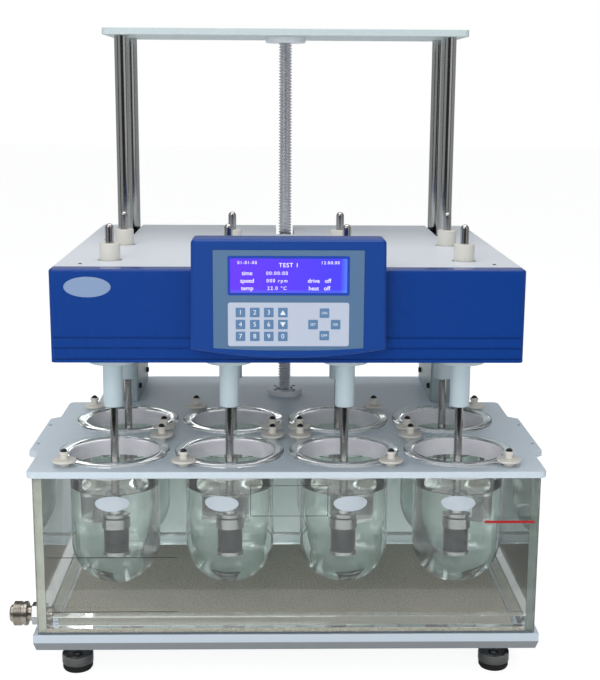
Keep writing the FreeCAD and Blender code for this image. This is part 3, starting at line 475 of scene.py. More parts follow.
# %% Makers of fasteners
def screws(name, places, shade, body, slot, radius=3, height=3, axis="Z", way=1, socket=0.55):
    recess, floor = radius * socket, height * 0.45
    section = [(0, floor), (recess, floor), (recess, height), (radius * 0.82, height),
               (radius, height - 0.4), (radius, 0)]
    work = bmesh.new()
    for place in places:
        spin_section(work, [(r, a * way) for r, a in section], place, axis, steps=12)
    finish(work, name, shade, body, slot)


def hex_nut(name, centre, radius, height, soft, body, slot, axis="Z", segments=2):
    nut = bmesh.new()
    bmesh.ops.create_cone(nut, cap_ends=True, segments=6, radius1=radius * MM,
                          radius2=radius * MM, depth=height * MM)
    if axis == "X":
        rotate(nut, 90, "Y")
    move(nut, centre)
    soften(nut, soft, segments=segments)
    finish(nut, name, bright_steel, body, slot)


# %% [markdown]
# ## Stage and light
#
# The picture is a cut-out on white, so the floor and the world show white to the camera
# alone. The light on the object stays plain: a grey room and soft lamps. The two in front
# and the one behind light the wall behind the bath and the deck under the head, and mirrors
# don't show them. Dark cards that only reflections see draw the streaks on the polished
# columns and darken the upright fronts, as the unlit side of a studio does. The cards
# beside the bath are also seen through glass, so its end panes look dark.

# %% Floor, world and lamps
def white_floor(glow_strength, glow_share):
    """A floor that shows the camera a share of plain glow, and its own shadows in the rest."""
    work = bmesh.new()
    bmesh.ops.create_grid(work, x_segments=1, y_segments=1, size=14)
    shade = Shade("floor_white")
    shade.set(base_color=paint(250, 250, 250), roughness=0.9)
    glow = shade.node("ShaderNodeEmission", inputs=[(1, 1, 1, 1), glow_strength])
    seen = shade.node("ShaderNodeLightPath", output="Is Camera Ray")
    mixed = shade.node("ShaderNodeMixShader", inputs=[
        seen * glow_share, Value(shade, shade.skin.outputs[0]), glow])
    shade.feed(shade.exit.inputs["Surface"], mixed)
    floor = into_object(work, "floor", shade)


def white_world(ambient):
    """White to the camera, and a grey room of this strength to everything else."""
    world = bpy.data.worlds.new("white_room")
    bpy.context.scene.world = world
    world.use_nodes = True
    tree = world.node_tree
    tree.nodes.clear()
    path, mix, out = (tree.nodes.new(kind) for kind in (
        "ShaderNodeLightPath", "ShaderNodeMixShader", "ShaderNodeOutputWorld"))
    tree.links.new(path.outputs["Is Camera Ray"], mix.inputs[0])
    for entry, colour, strength in ((1, (0.95, 0.98, 1.0, 1), ambient), (2, (1, 1, 1, 1), 1.0)):
        wall = tree.nodes.new("ShaderNodeBackground")
        wall.inputs["Color"].default_value = colour
        wall.inputs["Strength"].default_value = strength
        tree.links.new(wall.outputs[0], mix.inputs[entry])
    tree.links.new(mix.outputs[0], out.inputs[0])


def lamp(name, place, target, size, power, mirrored=True):
    light = bpy.data.lights.new(name, "AREA")
    light.shape = "RECTANGLE"
    light.size, light.size_y = size
    light.energy = power
    holder = bpy.data.objects.new(name, light)
    bpy.context.scene.collection.objects.link(holder)
    away = (spot(*place) - spot(*target)).normalized()
    holder.matrix_world = Matrix.Translation(spot(*place)) @ away.to_track_quat(
        "Z", "Y").to_matrix().to_4x4()
    holder.visible_glossy = mirrored
    holder.visible_camera = False


def dark_card(name, place, size, turn, grey, tilt=90, behind_glass=False):
    """A card that only reflections see, or also the rays that come through glass."""
    work = bmesh.new()
    bmesh.ops.create_grid(work, x_segments=1, y_segments=1, size=0.5)
    bmesh.ops.scale(work, vec=(size[0] * MM, size[1] * MM, 1), verts=work.verts[:])
    rotate(work, tilt, "X")
    rotate(work, turn, "Z")
    move(work, spot(*place))
    shade = Shade(name)
    glow = shade.node("ShaderNodeEmission", inputs=[(grey, grey, grey, 1), 1.0])
    shade.feed(shade.exit.inputs["Surface"], glow)
    card = into_object(work, name, shade)
    card.visible_camera = card.visible_diffuse = card.visible_shadow = False
    card.visible_transmission = behind_glass


white_floor(glow_strength=1.2, glow_share=0.75)
white_world(0.36)
lamp("key", (-900, -1500, 1700), (0, 0, 250), (1.6, 1.2), 9)
lamp("fill", (1300, -1100, 1100), (0, 0, 250), (1.4, 1.4), 1.5)
lamp("top", (0, 100, 2300), (0, 0, 300), (2.0, 1.6), 24)
lamp("front_low", (-250, -2300, 330), (0, 0, 170), (1.6, 0.7), 10.5, mirrored=False)
lamp("front_high", (-500, -1900, 1150), (0, 0, 270), (1.4, 0.6), 9.5, mirrored=False)
lamp("back", (-700, 2200, 950), (0, 0, 265), (1.6, 0.6), 14, mirrored=False)
dark_card("card_left", (-1500, -500, 500), (500, 2200), 70, 0.03)
dark_card("card_right", (1500, -700, 500), (600, 2200), -65, 0.03)
dark_card("card_front", (100, -2900, 900), (2600, 1800), 0, 0.03)
dark_card("card_low", (0, -1710, 6), (3200, 2580), 0, 0.02, tilt=0)
for side, name, grey in ((-1, "left", 0.1), (1, "right", 0.03)):
    dark_card(f"card_{name}_of_bath", (345 * side, 380, 136), (940, 268), 90, grey,
              behind_glass=True)
scene = bpy.context.scene
scene.view_settings.view_transform = "Standard"
CLEAR_BOUNCES, MIRROR_BOUNCES = 28, 8
for count in ("max_bounces", "transmission_bounces", "transparent_max_bounces"):
    setattr(scene.cycles, count, CLEAR_BOUNCES)
scene.cycles.glossy_bounces = MIRROR_BOUNCES
print("stage ready")

# %% [markdown]
# ## Base tray and feet
#
# The tray is folded sheet with a bevelled lower edge that catches less light; that shade is
# painted into its enamel as a dark grey band. Its solid has the right shape, so it keeps it
# and gains soft edges. Each foot is a turned steel cup with a domed shoulder on a black pad,
# on a bright threaded stud with a locknut.

# %% Tray and feet
softened("base_tray", 0.7, tray_enamel, "stand", "base_enamel")


def foot(name, x, y, body, node):
    centre = spot(x, y, 0)
    cup = arc((15, 19), 4, 0, 90, 5)
    turned(name, [(0, 8), (18.2, 8), (18.8, 8.6), (19, 10), *cup, (9, 24.4), (7.5, 27.5),
                  (7.5, 29), (5, 29), (5, 31)], centre, foot_steel, body, "foot_metal",
           soft=0.25, replaces=[node])
    turned(name + "_pad", [(0, 0), (16.6, 0), (18.2, 2.6), (18.4, 8), (0, 8)], centre, rubber,
           body, "foot_metal", soft=0.4)
    thread = [(0, 29)]
    for turn in range(12):
        thread += [(4.9, 30 + turn * 2.2), (4.2, 31.1 + turn * 2.2)]
    turned(name + "_stud", [*thread, (4.2, 56), (0, 56)], centre, bright_steel, body,
           "foot_metal", soft=0, steps=32, smooth=20)
    hex_nut(name + "_locknut", spot(x, y, 39.3), 9, 5, 0.5, body, "foot_metal")


FEET = {"front_left": (-257, -109), "front_right": (257, -109),
        "rear_left": (-257, 292), "rear_right": (257, 292)}
for side, (x, y) in FEET.items():
    foot(f"foot_{side}", x, y, f"foot_{side}", f"levelling_foot_{side}")

# %% [markdown]
# ## The bath
#
# The bath is four panes of 10 mm glass glued at their edges, on a stone-like floor sheet.
# Looking into a pane's end, the light comes through so much glass that it turns dark green,
# so the ends are thin opaque pieces of their own, with that light painted into their colour:
# painted light on the left end and painted shade on the right. Square glass strips are
# glued along the inside of the lower corners.

# %% Panes, strips and floor sheet
HALF, FRONT, REAR, PANE, PANE_TOP = 297, -151.5, 160, 10, 257
SHEET_TOP, STRIP, GLUE = TRAY_TOP + 5, 14, 0.2
stand = ("stand", "bath_glass")
slab("front_pane", (-HALF, FRONT, TRAY_TOP), (HALF, FRONT + PANE, PANE_TOP), bath_glass,
     *stand, soft=0.5, replaces=["glass_bath"])
slab("rear_pane", (-HALF, REAR - PANE, TRAY_TOP), (HALF, REAR, PANE_TOP), bath_glass, *stand,
     soft=0.5)
for side, name in ((-1, "left"), (1, "right")):
    outer, inner = side * HALF, side * (HALF - PANE)
    slab(f"{name}_pane", (min(outer, inner), FRONT + PANE + 0.1, TRAY_TOP),
         (max(outer, inner), REAR - PANE - 0.1, PANE_TOP), bath_glass, *stand, soft=0.5)

# The end strips are opaque: their colours are the glass's green, with painted light on the left
# end and painted shade on the right.
for side, name, colour in ((-1, "left", paint(160, 162, 150)), (1, "right", paint(98, 108, 101))):
    edge = enamel(f"{name}_end_tint_and_light", colour, rough=0.15, mottle=0.25, grain=12)
    near, far = side * (HALF - PANE + 0.3), side * (HALF - 0.3)
    slab(f"{name}_pane_edge", (min(near, far), FRONT + PANE + 0.02, TRAY_TOP + 0.5),
         (max(near, far), FRONT + PANE + 0.09, PANE_TOP - 0.5), edge, *stand, soft=0)

floor_sheet = Shade("stone_sheet")
speck = floor_sheet.noise(2.4, detail=4).spread(0.32, 0.68)
patch = floor_sheet.noise(38, detail=3)
floor_sheet.set(
    base_color=floor_sheet.mix(patch, floor_sheet.mix(speck, paint(118, 114, 102),
                                                      paint(176, 172, 158)),
                               floor_sheet.mix(speck, paint(140, 135, 120),
                                               paint(190, 184, 168))),
    roughness=0.55 + speck * 0.2)
floor_sheet.bump(speck, 0.05)
slab("stone_floor", (-HALF + PANE + 0.3, FRONT + PANE + 0.3, TRAY_TOP),
     (HALF - PANE - 0.3, REAR - PANE - 0.3, SHEET_TOP), floor_sheet, *stand, soft=0.6)

strips = bmesh.new()
inner_front, inner_rear = FRONT + PANE, REAR - PANE
for y0, y1 in ((inner_front, inner_front + STRIP), (inner_rear - STRIP, inner_rear)):
    add_slab(strips, (-HALF + PANE + GLUE, y0 + GLUE, SHEET_TOP + GLUE),
             (HALF - PANE - GLUE, y1 - GLUE, SHEET_TOP + STRIP), soft=0.4)
for x0 in (-HALF + PANE, HALF - PANE - STRIP):
    add_slab(strips, (x0 + GLUE, inner_front + STRIP, SHEET_TOP + GLUE),
             (x0 + STRIP - GLUE, inner_rear - STRIP, SHEET_TOP + STRIP), soft=0.4)
finish(strips, "corner_strips", bath_glass, *stand)
print("bath glazed")

# %% [markdown]
# ## Vessel plate and its hardware
#
# The plate carries the vessels by their flanges. Each vessel is held by two ivory
# hold-downs: a disc that bears on the flange, a waist and a stepped collar over a black
# screw. The plate's copy gains the soft edge that shines along the front.

# %% Plate and hold-downs
softened("vessel_plate", 1.1, plate_enamel, "stand", "plate_enamel", segments=3, angle=50)

hold_places = []
for x, y in GRID:
    lean = 1 if x * y > 0 else -1
    hold_places += [(x + 52.5 * side, y + 55 * side * lean) for side in (-1, 1)]
hold_work = bmesh.new()
for x, y in hold_places:
    spin_section(hold_work, [
        (0, 265.1), (6, 265.1), (6, 270.1), (13.6, 270.1), (14.5, 271), (14.5, 272.6),
        (14, 273.2), (6, 273.8), (4.9, 274.6), (4.6, 279), (5.7, 279.6), (5.7, 282.2),
        (5.2, 282.8), (3.9, 282.8), (3.9, 281.6), (0, 281.6)], spot(x, y, 0), steps=36)
bmesh.ops.recalc_face_normals(hold_work, faces=hold_work.faces[:])
soften(hold_work, 0.2)
finish(hold_work, "hold_downs", ivory, "stand", "ivory_plastic",
       replaces=["vessel_hold_downs"])
dome_work = bmesh.new()
for x, y in hold_places:
    spin_section(dome_work, [(0, 281.6), (4.1, 281.6), (4.1, 283.4),
                             *arc((0, 282.2), 4, 20, 90, 4)], spot(x, y, 0), steps=20)
finish(dome_work, "hold_down_screws", dark_screw, "stand", "ivory_plastic")

# %% [markdown]
# ## Glass vessels and what is in them
#
# A vessel is blown in a mould: an even wall, a round bottom and a heavy ground flange with
# fire-polished edges. Half a section with true arcs is spun into each, and the ground band
# inside its neck is a frosted skin. The liquid is a second closed body that reaches a
# little into the glass, because a gap of air would turn its side into a mirror. Its top
# has the small rise that wetting gives it at the wall.

# %% Vessels and liquid
BOTTOM, OUTER, WALL, LIQUID_TOP = 102, 54, 2.6, 227
CENTRE_Z = BOTTOM + OUTER
vessel_section = [
    *arc((0, CENTRE_Z), OUTER, -90, 0, 22), (54, 220), (54, 254),
    *arc((58.2, 256.4), 4.2, 180, 118, 3), (56.2, 264.4), (56.8, 265.1), (65.4, 265.1),
    (66.7, 266), (67, 267), (67, 268.6), (66.4, 269.6), (65.4, 270), (57.2, 270),
    (55.8, 269.5), (55, 268.4), (54.4, 264), (52.2, 258.5), (51.4, 254), (51.4, 220),
    *arc((0, CENTRE_Z), OUTER - WALL, 0, -90, 22)]
liquid_section = [
    *arc((0, CENTRE_Z), OUTER - WALL + 0.4, -90, 0, 22), (51.8, LIQUID_TOP + 1.8),
    (51.2, LIQUID_TOP + 1.6), (50.4, LIQUID_TOP + 0.5), (48.8, LIQUID_TOP + 0.1),
    (46, LIQUID_TOP), (0, LIQUID_TOP)]
for number, (x, y) in enumerate(GRID, start=1):
    turned(f"glass_{number}", vessel_section, spot(x, y, 0), vessel_glass, "stand",
           "vessel_glass", steps=96, soft=0, replaces=[f"vessel_{number}"], smooth=60)
    turned(f"ground_neck_{number}", [(51.15, 247), (51.15, 253.5), (52, 258.3), (54.1, 264),
                                     (54.6, 267.4)], spot(x, y, 0), frost, "stand",
           "vessel_glass", steps=72, soft=0, smooth=60)
    turned(f"liquid_{number}", liquid_section, spot(x, y, 0), liquid, "stand",
           "vessel_glass", steps=96, soft=0, smooth=60)

# %% [markdown]
# ## Labels and marks
#
# The front vessels carry an oval silver label each, left bare here. The front pane has a
# red level line at its right, and the two printed panels on it keep only their plain
# rules. A label on a vessel follows the glass, so a thin flat oval is cut into strips and
# then wrapped onto the vessel's radius.

# %% Labels, level line and ruled panels
label_silver = moulding("label_silver", paint(188, 196, 206), rough=0.3, mottle=0.03)
mark_red = moulding("mark_red", paint(168, 18, 24), rough=0.4)
mark_black = moulding("mark_black", paint(40, 44, 44), rough=0.5)


def vessel_label(name, x, y, z, turn):
    """An oval label, cut into upright strips and wrapped round the vessel."""
    work = upright_plate(48, 20.7, 9.3, 0.25)
    for cut in range(-20, 21, 2):
        bmesh.ops.bisect_plane(work, geom=everything(work), plane_co=(cut * MM, 0, 0),
                               plane_no=(1, 0, 0))
    face = OUTER + 0.05
    for vert in work.verts:
        across, deep, tall = vert.co / MM
        angle = across / face + math.radians(turn)
        vert.co = spot(x + (face - deep) * math.sin(angle),
                       y - (face - deep) * math.cos(angle), z + tall)
    finish(work, name, label_silver, "stand", "vessel_glass")


for number, ((x, y), turn) in enumerate(zip(GRID[:4], (2.8, -8.9, 6, -6.5)), start=1):
    vessel_label(f"vessel_label_{number}", x, y, 218.3, turn)

PRINT = FRONT - 0.1
slab("level_line", (232.3, PRINT, 201), (291.4, FRONT, 204.1), mark_red, *stand, soft=0)
rules = bmesh.new()
for x0, x1, z0, z1 in ((-283, -129, 158.8, 159.6), (-284, -130, 90.7, 91.5),
                       (-43.5, 47.5, 247.2, 247.8), (-43.5, 47.5, 210.1, 210.7),
                       (-43.5, -42.9, 210.7, 247.2), (46.9, 47.5, 210.7, 247.2)):
    add_slab(rules, (x0, PRINT, z0), (x1, FRONT, z1), soft=0)
finish(rules, "printed_rules", mark_black, *stand)

# %% [markdown]
# ## Columns, blocks and top plate
#
# Two clamp blocks stand on the deck and hold four ground columns, which carry the top
# plate. The columns are polished, so they are spun with many steps.

# %% Columns, blocks, top plate
softened("column_blocks", 0.8, block_enamel, "stand", "block_enamel")
softened("top_plate", 0.9, top_enamel, "stand", "top_enamel", segments=3)
column_work = bmesh.new()
for x, y in COLUMNS:
    spin_section(column_work, [(0, DECK + 0.1), (10, DECK + 0.1), (10, TOP_PLATE),
                               (0, TOP_PLATE)], spot(x, y, 0), steps=64)
finish(column_work, "ground_columns", column_steel, "stand", "column_steel",
       replaces=["columns"], smooth=50)
for side, name in ((-1, "left"), (1, "right")):
    screws(f"block_screws_{name}", [spot(side * 207.6, y, z) for y in (192, 294)
                                    for z in (285, 325)], dark_screw, "stand",
           "block_enamel", radius=4, height=4, axis="X", way=-side)
screws("top_plate_screws", [spot(x, y, 779.9) for x, y in COLUMNS], dark_screw, "stand",
       "top_enamel", radius=5, height=-2.4, socket=0.6)

# %% [markdown]
# ## Lead screw
#
# The head hangs on a nut that a trapezoidal thread lifts, 4 mm a turn. One pitch of the
# thread's section is spun up with a step along the axis, so that the crest winds as a real
# thread does. That single turn is doubled until it is long enough, and then cut square at
# both ends.

# %% Thread, bearings and nut
PITCH_MM, STEPS = 4, 20
thread_low, thread_high = 247, TOP_PLATE
thread = bmesh.new()
low = thread_low - PITCH_MM
points = [(9, 0), (9, 1.2), (7.1, 2.0), (7.1, 3.2), (9, 4.0)]
verts = [thread.verts.new(spot(r, SCREW_Y, low + a)) for r, a in points]
edges = [thread.edges.new(pair) for pair in zip(verts, verts[1:])]
bmesh.ops.spin(thread, geom=verts + edges, cent=spot(0, SCREW_Y, low), axis=(0, 0, 1),
               dvec=(0, 0, PITCH_MM * MM / STEPS), angle=2 * math.pi, steps=STEPS,
               use_merge=False, use_duplicate=False)
turns = 1
while turns * PITCH_MM < thread_high - low + PITCH_MM:
    copy = bmesh.ops.duplicate(thread, geom=everything(thread))
    bmesh.ops.translate(thread, vec=(0, 0, turns * PITCH_MM * MM), verts=new_verts(copy))
    turns *= 2
bmesh.ops.remove_doubles(thread, verts=thread.verts[:], dist=2e-5)
for height, inner in ((thread_high - 0.4, False), (thread_low, True)):
    cut = bmesh.ops.bisect_plane(
        thread, geom=everything(thread), plane_co=spot(0, SCREW_Y, height),
        plane_no=(0, 0, 1), clear_outer=not inner, clear_inner=inner)
    rim = [e for e in cut["geom_cut"] if isinstance(e, bmesh.types.BMEdge)]
    bmesh.ops.holes_fill(thread, edges=rim, sides=0)
spin_section(thread, [(0, 212.8), (14.6, 212.8), (15, 213.2), (15, 246), (14.6, 246.6),
                      (8, 246.7), (0, 246.7)], spot(0, SCREW_Y, 0), steps=48)
finish(thread, "threaded_screw", screw_steel, "screw", "screw_steel",
       replaces=["lead_screw"], smooth=24)

bearing_work = bmesh.new()
for section in ([(9.2, 763), (26.4, 763), (27.5, 764), (27.5, 771), (9.2, 771)],
                [(9.2, 247), (17, 247), (17, 265), (25.5, 265), (25.5, 272), (24.5, 273),
                 (12.8, 273), (12.8, 267), (9.2, 267)]):
    spin_section(bearing_work, section, spot(0, SCREW_Y, 0), steps=72, closed=True)
soften(bearing_work, 0.35)
finish(bearing_work, "screw_flanges", white_plastic, "stand", "white_plastic",
       replaces=["screw_bearings"])
flange_ring = [(18.6 * math.cos(a), SCREW_Y + 18.6 * math.sin(a))
               for a in (math.radians(45 + 90 * i) for i in range(4))]
screws("flange_screws", [spot(x, y, 271.6) for x, y in flange_ring], dark_screw, "stand",
       "white_plastic", radius=2.6, height=1.8)
print("thread has", turns, "turns")

# %% [markdown]
# ## Rear cabinet
#
# The cabinet is folded sheet behind the bath, with louvres, a mains rocker and an inlet at
# its back. Its solid has them all, so only the soft edges, the inlet's shroud and pins, and
# the screws are added.

# %% Cabinet, inlet, rocker
softened("rear_cabinet", 0.5, cabinet_enamel, "stand", "cabinet_enamel")
softened("power_switch", 0.5, black_plastic, "mains_rocker", "switch_plastic")
INLET_X, BACK = 187.2, 332
well = bmesh.new()
for x0, x1, z0, z1 in ((-23.6, 23.6, 96.2, 98), (-23.6, 23.6, 122, 123.8),
                       (-23.6, -21.8, 98, 122), (21.8, 23.6, 98, 122)):
    add_slab(well, (INLET_X + x0, BACK - 17, z0), (INLET_X + x1, BACK + 1.4, z1), soft=0.3)
add_slab(well, (INLET_X - 23, BACK - 17.6, 97), (INLET_X + 23, BACK - 15.4, 123), soft=0.3)
finish(well, "inlet_shroud", black_plastic, "stand", "switch_plastic")
pins = bmesh.new()
for x, z in ((-7, 108), (7, 108), (0, 114)):
    add_slab(pins, (INLET_X + x - 1, BACK - 15.6, z - 2), (INLET_X + x + 1, BACK - 3, z + 2),
             soft=0.3)
finish(pins, "inlet_pins", bright_steel, "stand", "switch_plastic")
screws("cabinet_screws", [spot(x, BACK, z) for x in (-250, 0, 250) for z in (74, 245)],
       dark_screw, "stand", "cabinet_enamel", radius=3.4, height=1.8, axis="Y")

# %% [markdown]
# ## Drain
#
# A hose coupling stands out at the bath's lower left: a tube through the pane with a bright
# hex nut, a turned body and a sleeve that slides back to let the hose go. The sleeve has
# fine grooves for the fingers.

# %% Drain fitting and sleeve
DRAIN_Y, DRAIN_Z = -122, 77
drain_centre = spot(0, DRAIN_Y, DRAIN_Z)
turned("drain_tube", [
    (6, -334), (9, -334), (10.4, -332.4), (10.4, -330), (9, -330), (9, -307.5), (8, -307.5),
    (8, -287), (9.6, -287), (9.6, -282), (4.5, -282), (4.5, -318), (6, -318)], drain_centre,
    drain_steel, "stand", "drain_metal", axis="X", closed=True, soft=0.3,
    replaces=["drain_fitting"])
hex_nut("drain_nut", spot(-302.5, DRAIN_Y, DRAIN_Z), 13.85, 10, 0.8, "stand", "drain_metal",
        axis="X", segments=3)
ribs = []
for rib in range(6):
    along = -328.9 + rib * 1.5
    ribs += [(14.6, along), (14.6, along + 0.9), (13.9, along + 1.0), (13.9, along + 1.4)]
turned("drain_sleeve", [(9.05, -329.6), (13.2, -329.6), *ribs, (13.6, -319.6), (13.6, -317.2),
                        (14.6, -316.8), (14.6, -313.4), (13.6, -312.6), (9.05, -312.6)],
       drain_centre, drain_steel, "drain_sleeve", "drain_metal", axis="X", closed=True,
       soft=0.12, replaces=["drain_coupling_sleeve"])

# %% [markdown]
# ## Drive head
#
# The head is a machined chassis under a sheet cover, with a glossy blue hood across its
# front and a moulded control housing on that. All four keep their solids' shapes, and the
# three outer ones gain soft edges. The parts inside the head take only a finish. The
# badge's place on the hood is a bare silver oval.

# %% Cover, hood, housing, chassis
softened("head_cover", 0.5, cover_enamel, "head", "cover_enamel", angle=50)
softened("front_fascia", 0.4, fascia_blue, "head", "fascia_blue", angle=50)
softened("control_housing", 0.5, housing_blue, "head", "housing_blue", angle=40)
for node, shade in {
        "head_chassis": chassis_metal, "drive_belt": rubber, "lead_nut": bronze,
        "drive_motor": motor_black, "motor_pulley": chassis_metal,
        "lift_gearmotor": motor_black}.items():
    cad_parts[node].data.materials[0] = shade.material

badge_silver = moulding("badge_silver", paint(128, 150, 184), rough=0.34, mottle=0.03)
badge = upright_plate(56, 26.5, 11.7, 0.8)
move(badge, spot(-226, -155, 482))
soften(badge, 0.35)
finish(badge, "hood_badge", badge_silver, "head", "fascia_blue")
screws("cover_screws", [spot(side * 240, y, HEAD_TOP - 0.2) for side in (-1, 1)
                        for y in (-110, 120)], dark_screw, "head", "cover_enamel",
       radius=2.2, height=0.9)

# %% [markdown]
# ## Sleeves, hubs, shafts and baskets
#
# Under the head each spindle runs in a white sleeve with a disc flange. Above it an ivory
# cap drives the shaft, whose round end stands out on top. The shaft is ground steel. The
# basket clips on its lid and is woven wire, which fine bumps in rings and dark streaks give.

# %% Screen finish
screen = Shade("woven_screen")
WIRE = 0.9
weft = (screen.axis("Z") * (2 * math.pi / (WIRE * MM))).sine()
streaks = screen.noise(1.1, detail=2, stretch=(1, 1, 0.04))
screen.set(metallic=1, roughness=0.34 + streaks * 0.1,
           base_color=screen.mix(streaks.spread(0.3, 0.7) * 0.75 + weft.spread(-1, 1) * 0.25,
                                 paint(16, 16, 16), paint(60, 59, 58)))
screen.bump(weft.spread(-1, 1) * 0.6 + streaks * 0.4, 0.12)

# %% Spindles
sleeve_work = bmesh.new()
for x, y in GRID:
    spin_section(sleeve_work, [
        (5.1, 324), (11, 324), (12, 324.8), (12, 327), (11.7, 327.4), (12, 327.8), (12, 379),
        (28, 379), (30, 381), (30, 395), (10.6, 395), (10.6, 330), (5.1, 330)],
        spot(x, y, 0), steps=64, closed=True)
soften(sleeve_work, 0.3)
finish(sleeve_work, "white_sleeves", sleeve_white, "head", "sleeve_white",
       replaces=["guide_sleeves"])

for number, (x, y) in enumerate(GRID, start=1):
    body, centre = f"spindle_{number}", spot(x, y, 0)
    softened(f"drive_hub_{number}", 0.35, ivory, body, "ivory_plastic", angle=50)
    turned(f"rod_{number}", [
        (0, 188.6), (11.3, 188.6), (11.3, 191), (12.6, 191), (12.7, 191.4), (12.7, 193),
        (12.2, 193.4), (7, 193.8), (6.8, 198.4), (6.2, 199), (5, 199.4), (5, 536),
        *arc((0, 540), 5, 0, 90, 7)], centre, shaft_steel, body, "shaft_steel", steps=48,
        soft=0.15, replaces=[f"stirring_shaft_{number}"])
    turned(f"basket_ring_{number}", [
        (11.3, 174.6), (12.4, 174.4), (12.7, 175), (12.7, 186.8), (12.4, 187), (11.3, 187)],
        centre, shaft_steel, body, "basket_steel", steps=48, closed=True, soft=0.2,
        replaces=[f"basket_{number}"])
    turned(f"basket_screen_{number}", [
        (0, 141.6), (10.6, 141.6), (10.6, 175), (11.1, 175), (11.1, 141.1), (0, 141.1)], centre,
        screen, body, "basket_steel", steps=48, soft=0)
    turned(f"basket_band_{number}", [
        (11.2, 141), (12.2, 141.2), (12.2, 144.6), (11.9, 145), (11.2, 145)], centre,
        shaft_steel, body, "basket_steel", steps=48, closed=True, soft=0.15)
print("spindles dressed")

# %% [markdown]
# ## Control panel
#
# The panel is one printed film: a grey-blue frame, a dark blue border round the lit
# display and a pale field with square keys. Each printed area is a thin slab, because a
# raised key catches its own edge of light. The digits are the type that Blender holds,
# made mesh before they are placed.

# %% Film, display and keys
FILM = -176.85
READOUT_Y, KEY_Y, LEGEND_Y = FILM - 0.29, FILM - 0.42, FILM - 0.44
DISPLAY = (-64.8, 64.8, 479.5, 517.6)
film_frame = moulding("film_frame", paint(84, 114, 147), rough=0.26, grain=0.3, mottle=0.03)
film_frame.skin.inputs["Specular IOR Level"].default_value = 0.3
film_border = moulding("film_border", paint(14, 62, 168), rough=0.3)
film_field = moulding("film_field", paint(182, 191, 209), rough=0.36, mottle=0.03)
key_blue = moulding("key_blue", paint(88, 125, 165), rough=0.36)
key_white = moulding("key_white", paint(228, 234, 240), rough=0.4)

slab("panel_film", (-84, FILM, 414), (84, -175.8, 527), film_frame, "head", "film",
     round_axis="Y", radius=1, soft=0.2, replaces=["membrane_panel"])


def printed(name, x0, x1, z0, z1, shade, proud, radius):
    """A printed area: a thin slab that stands proud of the film by so many millimetres."""
    slab(name, (x0, FILM - proud, z0), (x1, FILM + 0.05, z1), shade, "head", "film",
         round_axis="Y", radius=radius, soft=0.06, corner_segments=5)


printed("display_border", -67.7, 67.7, 476.4, 520.6, film_border, proud=0.12, radius=2.2)
printed("key_field", -67.5, 67.5, 419, 468.4, film_field, proud=0.12, radius=2.6)

lit = Shade("lit_display")
across = lit.axis("X")
tall = lit.axis("Z")
left_edge, right_edge = (spot(x, 0, 0).x for x in DISPLAY[:2])
bottom_edge = DISPLAY[2] * MM
right_glow = across.spread(right_edge - 0.0075, right_edge - 0.001)
base_glow = tall.spread(bottom_edge + 0.004, bottom_edge + 0.0005)
slow = across.spread(left_edge, right_edge)
body_colour = lit.mix(slow, paint(110, 62, 250), paint(76, 70, 252))
glow = lit.mix(right_glow * 0.75 + base_glow * 0.35, body_colour, paint(96, 140, 255))
lit.set(base_color=paint(20, 18, 60), roughness=0.25, emission_color=glow, emission_strength=1.0)
printed("display", *DISPLAY, lit, proud=0.26, radius=0.8)


def letters(work, words, size, x, z, y, spacing=1.0):
    """Add words as a thin mesh standing on the panel, centred at x and z."""
    curve = bpy.data.curves.new("letters", "FONT")
    curve.body = words
    curve.size = size * MM
    curve.align_x = curve.align_y = "CENTER"
    curve.extrude = 0.04 * MM
    curve.space_character = spacing
    holder = bpy.data.objects.new("letters", curve)
    bpy.context.scene.collection.objects.link(holder)
    bpy.context.view_layer.update()
    shape = bpy.data.meshes.new_from_object(
        holder.evaluated_get(bpy.context.evaluated_depsgraph_get()))
    shape.transform(Matrix.Translation(spot(x, y, z)) @ Matrix.Rotation(math.radians(90), 4, "X"))
    work.from_mesh(shape)
    bpy.data.objects.remove(holder)
    bpy.data.curves.remove(curve)
    bpy.data.meshes.remove(shape)


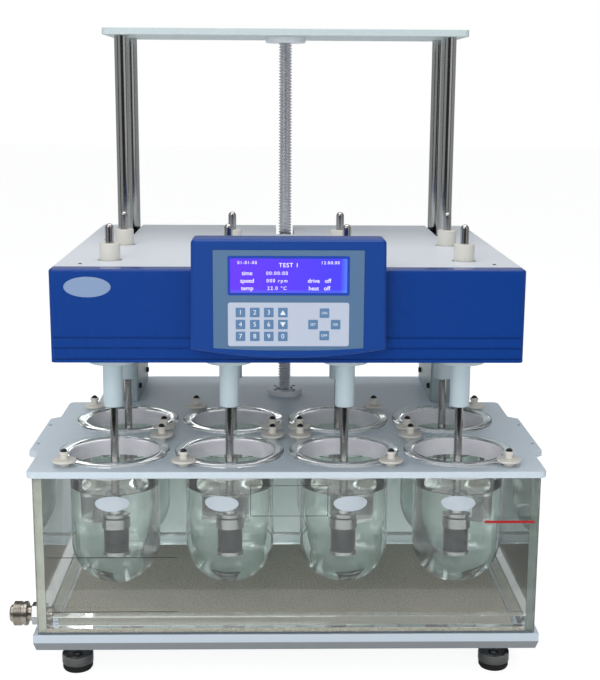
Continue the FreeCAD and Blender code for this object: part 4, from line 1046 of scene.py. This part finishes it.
readout = bmesh.new()
letters(readout, "01-01-00", 4.8, -46, 513, READOUT_Y, spacing=1.25)
letters(readout, "12:00:00", 4.8, 46, 513, READOUT_Y, spacing=1.25)
letters(readout, "TEST 1", 6.6, 0, 510.2, READOUT_Y, spacing=1.15)
for z, name, value in ((501.2, "time", "00:00:00"), (492.8, "speed", "000 rpm"),
                       (484.4, "temp", "22.0 °C")):
    letters(readout, name, 6.6, -46, z, READOUT_Y)
    letters(readout, value, 5.4, -13, z, READOUT_Y, spacing=1.3)
for z, name in ((492.8, "drive   off"), (484.4, "heat   off")):
    letters(readout, name, 6.6, 34, z, READOUT_Y)
glow_white = Shade("readout_light")
pale = glow_white.noise(0.8)
glow_white.set(base_color=paint(200, 200, 255), roughness=0.4, emission_strength=0.9,
               emission_color=glow_white.mix(pale, paint(196, 190, 255), paint(222, 218, 255)))
finish(readout, "display_readout", glow_white, "head", "film")

keys, legends = bmesh.new(), bmesh.new()
KEY = 10.7
key_tops = (462.6, 449, 435.5)
key_lefts = (-58.9, -43, -27.4, -11.7)


def add_key(left, top, words=None, size=7.4):
    add_slab(keys, (left, KEY_Y, top - KEY), (left + KEY, FILM, top), round_axis="Y",
             radius=0.7, soft=0.12, corner_segments=3)
    if words:
        letters(legends, words, size, left + KEY / 2, top - KEY / 2, LEGEND_Y)


def add_arrow(left, top, way):
    arrow = upright_plate(3, 3.6, 3.6, 0.08)
    if way < 0:
        rotate(arrow, 180, "Y")
    move(arrow, spot(left + KEY / 2, KEY_Y + 0.02, top - KEY / 2 - 0.9 * way))
    pour(arrow, legends)


places = [(left, top) for top in key_tops for left in key_lefts[:3]]
for digit, (left, top) in enumerate(places, start=1):
    add_key(left, top, str(digit))
for top, way in zip(key_tops, (1, -1)):
    add_key(key_lefts[3], top)
    add_arrow(key_lefts[3], top, way)
add_key(key_lefts[3], key_tops[2], "0")
for left, top, words in ((34.6, 462, "ON"), (34.6, 436.5, "OFF"), (22, 449, "SET"),
                         (47.2, 449, "OK")):
    add_key(left, top, words, 4.0)
finish(keys, "keys", key_blue, "head", "film")
finish(legends, "key_legends", key_white, "head", "film")
